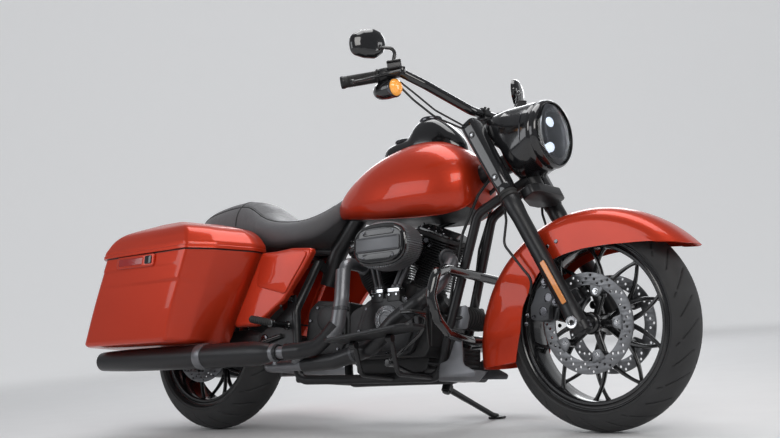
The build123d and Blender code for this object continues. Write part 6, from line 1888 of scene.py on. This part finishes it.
def shocks():
    """Coil springs wound round their dampers, with threaded collars and bushed eyes."""
    coils, bodies, rubbers = [], [], []
    turns, steps, low = 8.5, 238, 44.0
    for side in (-1, 1):
        top, foot = (Vector((p.x, -side * p.y, p.z)) for p in (SHOCK_TOP, SHOCK_FOOT))
        length = (top - foot).length
        place = frame_at(foot, top - foot, LEFT)
        high = length - low
        path = []
        for k in range(steps + 1):
            a = 2 * pi * turns * (k / steps)
            path.append(place @ Vector((14.0 * cos(a), 14.0 * sin(a), low + (high - low) * (k / steps))))
        rings = []
        for i, (p, ahead) in enumerate(zip(path, headings(path))):
            out = (p - place @ Vector((0, 0, low + (high - low) * i / steps))).normalized()
            across = ahead.cross(out)
            rings.append([p + (out * cos(t) + across * sin(t)) * 3.9 for t in around(10)])
        coils.append(skin(rings))
        bodies.append(lathe([(0, 8), (8, 8), (8, 16), (35, 16), (38, 20), (39, 34), (37, 38), (18, 40),
                             (17, 44), (9, 45), (9, length - 60), (10, length - 48), (17.5, length - 44),
                             (17.5, length - 32), (12, length - 28), (12, length - 10), (0, length - 10)],
                            place, 40))
        for eye in (top, foot):
            ring = [(9.2, -7.4), (15, -7.4), (16, -6), (16, 6), (15, 7.4), (9.2, 7.4)]
            bodies.append(lathe(ring, frame_at(eye, LEFT), 36, loop=True))
            rubbers.append(lathe([(9.1, -7.8), (12.5, -7.8), (12.5, 7.8), (9.1, 7.8)], frame_at(eye, LEFT),
                                 30, loop=True))
            rubbers.append(lathe([(0, 7.6), (9, 7.6), (9, 11.4), (6, 12.6), (0, 12.6)],
                                 frame_at(eye, (0, side, 0)), 6))
    return joined(*coils), joined(*bodies), joined(*rubbers)


coils, bodies, rubbers = shocks()
piece("shock_springs", coils, GLOSS_BLACK, "chassis", "rear_shocks", 60)
piece("shock_bodies", bodies, SATIN_BLACK, "chassis", "rear_shocks")
piece("shock_bushings", rubbers, DARK_CHROME, "chassis")


def footboards():
    """Rounded board with a raised edge, and a rubber pad of long ribs on its top."""
    tilt = radians(6)
    place = Matrix(((cos(tilt), 0, -sin(tilt), 1030), (0, 1, 0, -330), (sin(tilt), 0, cos(tilt), 290),
                    (0, 0, 0, 1)))
    outline = rounded_outline([(-165, -50), (-150, -58), (120, -58), (165, -40), (165, 40), (120, 58),
                               (-165, 50)], [18, 20, 40, 24, 24, 40, 20], 7)
    metal = [slab(outline, place, 11, edge=3.5)]
    pad = [slab([(x * 0.94, y * 0.86) for x, y in outline], place @ Matrix.Translation((0, 0, 9)), 3.4,
                edge=1)]
    for y in range(-39, 40, 13):
        rib = rectangle(142 if abs(y) < 30 else 126, 3.4, 3.2, 5, (0, y))
        pad.append(slab(rib, place @ Matrix.Translation((0, 0, 11)), 3.0, edge=1.2))
    for x, y_start in ((925, -100), (1068, -82)):
        height = 290 + (x - 1030) * tan(tilt)
        metal.append(tube([(x, y_start, 172), (x, -262, 175), (x, -302, height)], 7.5, 22, 18))
        metal.append(lathe([(0, -11), (12, -10), (12, 10), (0, 11)],
                           frame_at((x, -303, height - 12), FORWARD), 24))
    return joined(*metal), joined(*pad)


metal, pad = footboards()
piece("footboard_plates", both_sides(metal), SATIN_BLACK, "chassis", "footboards", 34)
piece("footboard_rubbers", both_sides(pad), RUBBER, "chassis", "footboards")


def levers():
    """Brake pedal on the right and gear lever on the left."""
    metal = [tube([(1010, -232, 214), (1150, -250, 300), (1170, -262, 346), (1172, -306, 350)], 6, [50, 14],
                  16), box((1172, -326, 350.5), (40, 80, 7), 2.5)]
    pads = [box((1172, -326, 355), (43, 83, 6), 2.5)]
    pads += [box((1172, -357 + 12.4 * k, 357.2), (38, 5, 2.0), 0.8) for k in range(6)]
    metal.append(tube([(1040, 232, 214), (1150, 250, 300), (1170, 262, 346), (1172, 300, 350)], 6, [50, 14],
                      16))
    metal.append(rod((1172, 297, 350), (1172, 363, 350), 6))
    profile = [(6, -33), (10.2, -33)]
    for k in range(8):
        profile += [(11, -30 + 8 * k), (11, -26 + 8 * k), (9.6, -25 + 8 * k), (9.6, -23.5 + 8 * k)]
    profile += [(10.6, 33), (6, 33)]
    pads.append(lathe(profile, frame_at((1172, 330, 350), LEFT), 28, loop=True))
    for side, x, z_to, y_to in ((-1, 1010, 178, 72), (1, 1040, 178, 68)):
        metal.append(lathe([(0, 0), (14, 0), (14, 23), (9, 24), (8, 27), (0, 27)],
                           frame_at((x, side * 215, 214), (0, side, 0)), 32))
        metal.append(rod((x, side * 236, 214), (x, side * y_to, z_to), 7))
    return joined(*metal), joined(*pads)


metal, pads = levers()
piece("pedal_arms", metal, GLOSS_BLACK, "chassis", "foot_levers", 38)
piece("pedal_rubbers", pads, RUBBER, "chassis", "foot_levers")


def pegs():
    """Passenger peg folded back, on its mount."""
    start, end = Vector((506, -236, 366)), Vector((408, -248, 386))
    metal = lathe([(16, 0), (16, 4), (12, 7), (11, 60), (14, 66), (14, 88), (9, 90), (0, 90)],
                  frame_at((500, -156.8, 366), RIGHT), 30)
    long = (end - start).length
    profile = [(0, -4), (9, -4), (12, 0)]
    for k in range(10):
        profile += [(13.6, 6 + 9 * k), (13.6, 10.6 + 9 * k), (11.8, 12 + 9 * k), (11.8, 13.6 + 9 * k)]
    profile += [(13.2, long - 4), (10, long), (0, long)]
    return metal, lathe(profile, frame_at(start, (end - start).normalized()), 30)


metal, rubber = pegs()
piece("passenger_peg_mounts", both_sides(metal), GLOSS_BLACK, "chassis", "passenger_pegs",
      38)
piece("passenger_peg_rubbers", both_sides(rubber), RUBBER, "chassis", "passenger_pegs")

hoop = tube([(1196, 0, 502), (1206, -200, 499), (1240, -306, 470), (1232, -322, 400), (1240, -306, 336),
             (1212, -200, 300), (1172, 0, 290)], 16, [60, 40, 50, 40, 60], 28, 9)
piece("engine_guard_hoops", both_sides(hoop), GLOSS_BLACK, "chassis", "engine_guard", 60)
guard_bolts = bolts([(x, side * 62, z) for side in (-1, 1) for x, z in ((1200, 497), (1140, 296))], FORWARD,
                    6, 5)


def rectifier():
    """Finned block: curved vertical fins on a housing, with its straps and screws."""
    fins = [box((1172, 0, 362), (12, 98, 76), 2)]
    for y in range(-45, 46, 9):
        deep = 44 - 0.008 * y * y
        outline = [(1176 + deep * (1 - 0.62 * abs(t) ** 2.2), 362 + 35.6 * t)
                   for t in np.linspace(-1, 1, 15)]
        outline += [(1175, 362 + 35.6), (1175, 362 - 35.6)]
        fins.append(slab(rounded_outline(outline, 1.2, 1), side_view(y + 1.5), 3.0, edge=0.8))
    for side in (-1, 1):
        fins.append(rod((1172, side * 46, 362), (1146, side * 56, 362), 7))
    plate = rounded_outline([(1148, 326), (1144, 398), (1190, 402), (1200, 362), (1190, 324)],
                            [8, 8, 10, 30, 10], 5)
    return joined(*fins), joined(*[slab(plate, side_view(y), 3, edge=1) for y in (-49.5, 52.5)])


fins, plates = rectifier()
piece("rectifier_fins", fins, WRINKLE_BLACK, "chassis", "rectifier", 34)
piece("rectifier_plates", plates, PIPE_GREY, "chassis", "rectifier")


def oil_cooler():
    fins = [box((1155, 0, 208 + 3.9 * k), (40, 96, 1.4), 0.3) for k in range(15)]
    tanks = [box((1155, 0, 210.5 + 12.6 * k), (34, 94, 5), 1.5) for k in range(5)]
    for side in (-1, 1):
        tanks.append(box((1155, side * 48.5, 236), (42, 8, 62), 3))
        tanks.append(rod((1150, side * 40, 236), (1112, side * 62, 236), 7))
        tanks.append(tube([(1148, side * 48, 222), (1130, side * 66, 216), (1080, side * 72, 214),
                           (1046, side * 66, 222)], 7, 20, 14))
    return joined(*fins), joined(*tanks)


fins, tanks = oil_cooler()
piece("oil_cooler_fins", fins, CAST_GREY, "chassis", "oil_cooler")
piece("oil_cooler_tanks", tanks, SATIN_BLACK, "chassis", "oil_cooler")


def chin():
    rings = []
    for z, x, long, wide in ((160, 1130, 86, 146), (161, 1130, 89, 150), (168, 1134, 92, 160),
                             (188, 1145, 96, 188), (195, 1149, 97, 196), (196, 1149, 95, 194)):
        outline = rounded_outline([(-long / 2, -wide / 2), (long / 2, -wide / 2 + 26),
                                   (long / 2, wide / 2 - 26), (-long / 2, wide / 2)], [14, 22, 22, 14], 5)
        rings.append([(x + a, b, z) for a, b in outline])
    return skin(rings)


cheek = rounded_outline([(1112, 171), (1117, 214), (1150, 223), (1172, 278), (1188, 297), (1202, 288),
                         (1205, 208), (1252, 184), (1246, 169)], [6, 12, 30, 30, 8, 8, 20, 8, 6], 5)
cheeks = [slab(cheek, side_view(y), 3.4, edge=1.2) for y in (-98.6, 102)]
piece("chin_fairing", joined(chin(), *cheeks), PIPE_GREY, "chassis", "chin_cover", 34)


def stand():
    """Forged leg with a bent foot, its pivot eye and return spring."""
    pivot, foot = Vector((1008, 106, 144)), Vector((1082, 318, 46))
    down = (foot - pivot).normalized()
    up = Vector((-0.985, 0.16, -0.03)).normalized()
    axis = down.cross(up).normalized()
    across = axis.cross(down)
    rings = []
    length = (foot - pivot).length - 20
    for share, wide, deep in ((0.0, 12, 10), (0.12, 11.5, 9.5), (0.5, 10, 8.5), (0.85, 9.5, 8.5),
                              (1.0, 9.5, 8)):
        rings.append([pivot + down * (length * share) + across * a + axis * b
                      for a, b in oval(wide, deep, 3, 28)])
    leg = skin(rings)
    eye = lathe([(7.2, -11.8), (17.5, -11.8), (18.8, -10.5), (18.8, 10.5), (17.5, 11.8), (7.2, 11.8)],
                frame_at(pivot, axis), 40, loop=True)
    start, end = pivot + across * 16 + axis * 4, pivot + down * 96 + across * 12
    place = frame_at(start, end - start)
    long = (end - start).length
    coil = [place @ Vector((5.0 * cos(0.9 * k), 5.0 * sin(0.9 * k), long * k / 180)) for k in range(181)]
    spring = skin([[frame_at(p, ahead) @ Vector((x, y, 0)) for x, y in circle(1.3, count=6)]
                   for p, ahead in zip(coil, headings(coil))])
    return joined(leg, eye), spring


leg, return_spring = stand()
floor_up = Vector((0, -sin(LEAN), cos(LEAN)))
foot_pad = slab(rectangle(29, 20, 12, 6), frame_at((1078, 318, 318 * tan(LEAN)), floor_up), 8.6, edge=2.5)
shin = tube([Vector((1072, 290, 59)), Vector((1078, 318, 318 * tan(LEAN) + 10))], 8, 10, 20)
piece("side_stand_leg", joined(leg, foot_pad, shin), SATIN_BLACK, "side_stand", "side_stand",
      34)
piece("stand_spring", return_spring, DARK_CHROME, "side_stand")

frame_details = []
for side in (-1, 1):
    frame_details.append(lathe([(12, 6), (12, 10), (9, 11), (8, 13), (0, 13)],
                               frame_at((SHOCK_TOP.x, -side * SHOCK_TOP.y, SHOCK_TOP.z), (0, side, 0)), 6))
    for x, z in ((524, 268), (520, 452)):
        frame_details.append(acorn((x, side * 156.5, z), (0, side, 0), 6.5, 7))
piece("frame_bolts", joined(*frame_details, *guard_bolts), DARK_CHROME, "chassis")

# wiring and hoses that stay behind the covers
harness = [tube([(1312, 24, 872), (1250, 40, 800), (1120, 42, 712), (1000, 40, 690)], 7, 40, 12),
           tube([(1290, -26, 838), (1236, -50, 760), (1180, -56, 640), (1152, -58, 520), (1130, -64, 400)],
                5, 60, 12), tube([(1178, 30, 400), (1160, 48, 470), (1176, 52, 600), (1236, 40, 740)], 4.5,
                                 40, 12)]
piece("wiring_runs", joined(*harness), HOSE, "chassis", corner=60)


# ---- stage: camera, light and floor
def clear_spares():
    """The part's own bodies that no drawn piece stands in for take the finishes by slot."""
    by_slot = {"frame_black": SATIN_BLACK, "engine_black": WRINKLE_BLACK, "satin_black": SATIN_BLACK,
               "gloss_black": GLOSS_BLACK, "paint": PAINT, "leather": LEATHER, "belt_rubber": RUBBER,
               "tyre": TYRE, "wheel_black": RIM_BLACK, "disc_steel": DISC_STEEL,
               "cooler_black": WRINKLE_BLACK, "amber": LENS_AMBER, "red_lens": LENS_RED,
               "lamp_glass": LAMP_CLEAR}
    for part in frame["record"]["subparts"]:
        made = frame["nodes"][part["node"]]
        made.data.materials.clear()
        made.data.materials.append(by_slot[part["material_slot"]])


def sun_panel(name, place, target, size, power, colour=(1, 1, 1)):
    """Soft rectangular light aimed at a point, in metres."""
    data = bpy.data.lights.new(name, "AREA")
    data.shape = "RECTANGLE"
    data.size, data.size_y = size
    data.energy = power
    data.color = colour
    lamp = bpy.data.objects.new(name, data)
    lamp.location = place
    lamp.rotation_euler = (Vector(target) - Vector(place)).to_track_quat("-Z", "Y").to_euler()
    bpy.context.scene.collection.objects.link(lamp)
    return lamp


CAMERA_YAW = radians(36.817)


def stage_floor():
    """Pale floor that curves up into a backdrop far behind."""
    rows = [(-14.0, 0.0), (7.0, 0.0)]
    for step in range(1, 25):
        a = 0.5 * pi * step / 24
        rows.append((7.0 + 4.0 * sin(a), 4.0 - 4.0 * cos(a)))
    rows.append((11.0, 12.0))
    yaw = CAMERA_YAW
    ahead = Vector((-sin(yaw), cos(yaw), 0))
    aside = Vector((cos(yaw), sin(yaw), 0))
    points = [ahead * reach + aside * across + Vector((0, 0, height)) for reach, height in rows
              for across in (-22, 22)]
    faces = [(2 * r, 2 * r + 1, 2 * r + 3, 2 * r + 2) for r in range(len(rows) - 1)]
    mesh = bpy.data.meshes.new("studio_floor")
    mesh.from_pydata(points, [], faces)
    mesh.shade_smooth()
    mesh.materials.append(FLOOR)
    floor = bpy.data.objects.new("studio_floor", mesh)
    bpy.context.scene.collection.objects.link(floor)
    return floor


def paper():
    """Matt pale paper. Far from the machine it is seen, mirrored or not, a bit brighter than it is lit."""
    material = coat("studio_paper", (0.70, 0.70, 0.705), (0.74, 0.74, 0.745), 0.60, 0.68)
    tree = material.node_tree
    place = tree.nodes.new("ShaderNodeTexCoord")
    reach = tree.nodes.new("ShaderNodeVectorMath")
    reach.operation = "LENGTH"
    spread = tree.nodes.new("ShaderNodeMapRange")
    spread.interpolation_type = "SMOOTHSTEP"
    for label, value in (("From Min", 2.0), ("From Max", 9.0), ("To Min", 0.0), ("To Max", 0.46)):
        spread.inputs[label].default_value = value
    rays = tree.nodes.new("ShaderNodeLightPath")
    seen, through, level = (tree.nodes.new("ShaderNodeMath") for _ in range(3))
    seen.operation = through.operation = "MAXIMUM"
    level.operation = "MULTIPLY"
    tree.links.new(place.outputs["Object"], reach.inputs[0])
    tree.links.new(reach.outputs["Value"], spread.inputs["Value"])
    tree.links.new(rays.outputs["Is Camera Ray"], seen.inputs[0])
    tree.links.new(rays.outputs["Is Glossy Ray"], seen.inputs[1])
    tree.links.new(seen.outputs["Value"], through.inputs[0])
    tree.links.new(rays.outputs["Is Transmission Ray"], through.inputs[1])
    tree.links.new(through.outputs["Value"], level.inputs[0])
    tree.links.new(spread.outputs["Result"], level.inputs[1])
    shader = tree.nodes["Principled BSDF"]
    shader.inputs["Emission Color"].default_value = (0.86, 0.87, 0.88, 1)
    tree.links.new(level.outputs["Value"], shader.inputs["Emission Strength"])
    return material


clear_spares()
FLOOR = paper()
floor = stage_floor()

CAMERA_AT = Vector((2852.8, -2691.2, 22.9))
yaw, pitch, roll = CAMERA_YAW, radians(12.023), radians(0.317)
look = Vector((-sin(yaw) * cos(pitch), cos(yaw) * cos(pitch), sin(pitch)))
level = Vector((cos(yaw), sin(yaw), 0))
upward = level.cross(look)
across = level * cos(roll) + upward * sin(roll)
upright = upward * cos(roll) - level * sin(roll)
camera_data = bpy.data.cameras.new("camera")
camera_data.lens = 44.48
camera_data.sensor_width = 36.0
camera_data.clip_start = 0.05
camera_data.clip_end = 60
camera = bpy.data.objects.new("camera", camera_data)
turn = PARKED.to_3x3() * 1000.0
pose = Matrix((turn @ across, turn @ upright, -(turn @ look))).transposed().to_4x4()
pose.translation = PARKED @ CAMERA_AT
camera.matrix_world = pose
bpy.context.scene.collection.objects.link(camera)
bpy.context.scene.camera = camera

lights = [
    sun_panel("key", (3.4, -3.6, 3.4), (0.1, 0, 0.6), (3.2, 2.0), 104, (1.0, 0.98, 0.95)),
    sun_panel("fill", (-2.6, -4.2, 2.2), (-0.2, 0, 0.5), (3.0, 2.2), 48, (0.95, 0.97, 1.0)),
    sun_panel("top", (0.2, 0.2, 4.2), (0.1, 0, 0.4), (3.6, 1.8), 78),
    sun_panel("rim", (-2.0, 4.0, 2.8), (0, 0, 0.6), (3.4, 1.6), 74, (0.96, 0.98, 1.0)),
    sun_panel("nose", (4.2, 1.4, 1.6), (0.6, 0, 0.6), (1.6, 2.0), 36),
]
world = bpy.data.worlds.new("studio")
world.use_nodes = True
world.node_tree.nodes["Background"].inputs["Color"].default_value = (0.80, 0.82, 0.86, 1)
world.node_tree.nodes["Background"].inputs["Strength"].default_value = 0.30
bpy.context.scene.world = world
bpy.context.scene.view_settings.view_transform = "Standard"
bpy.context.scene.view_settings.look = "None"
bpy.context.scene.view_settings.exposure = 0.0
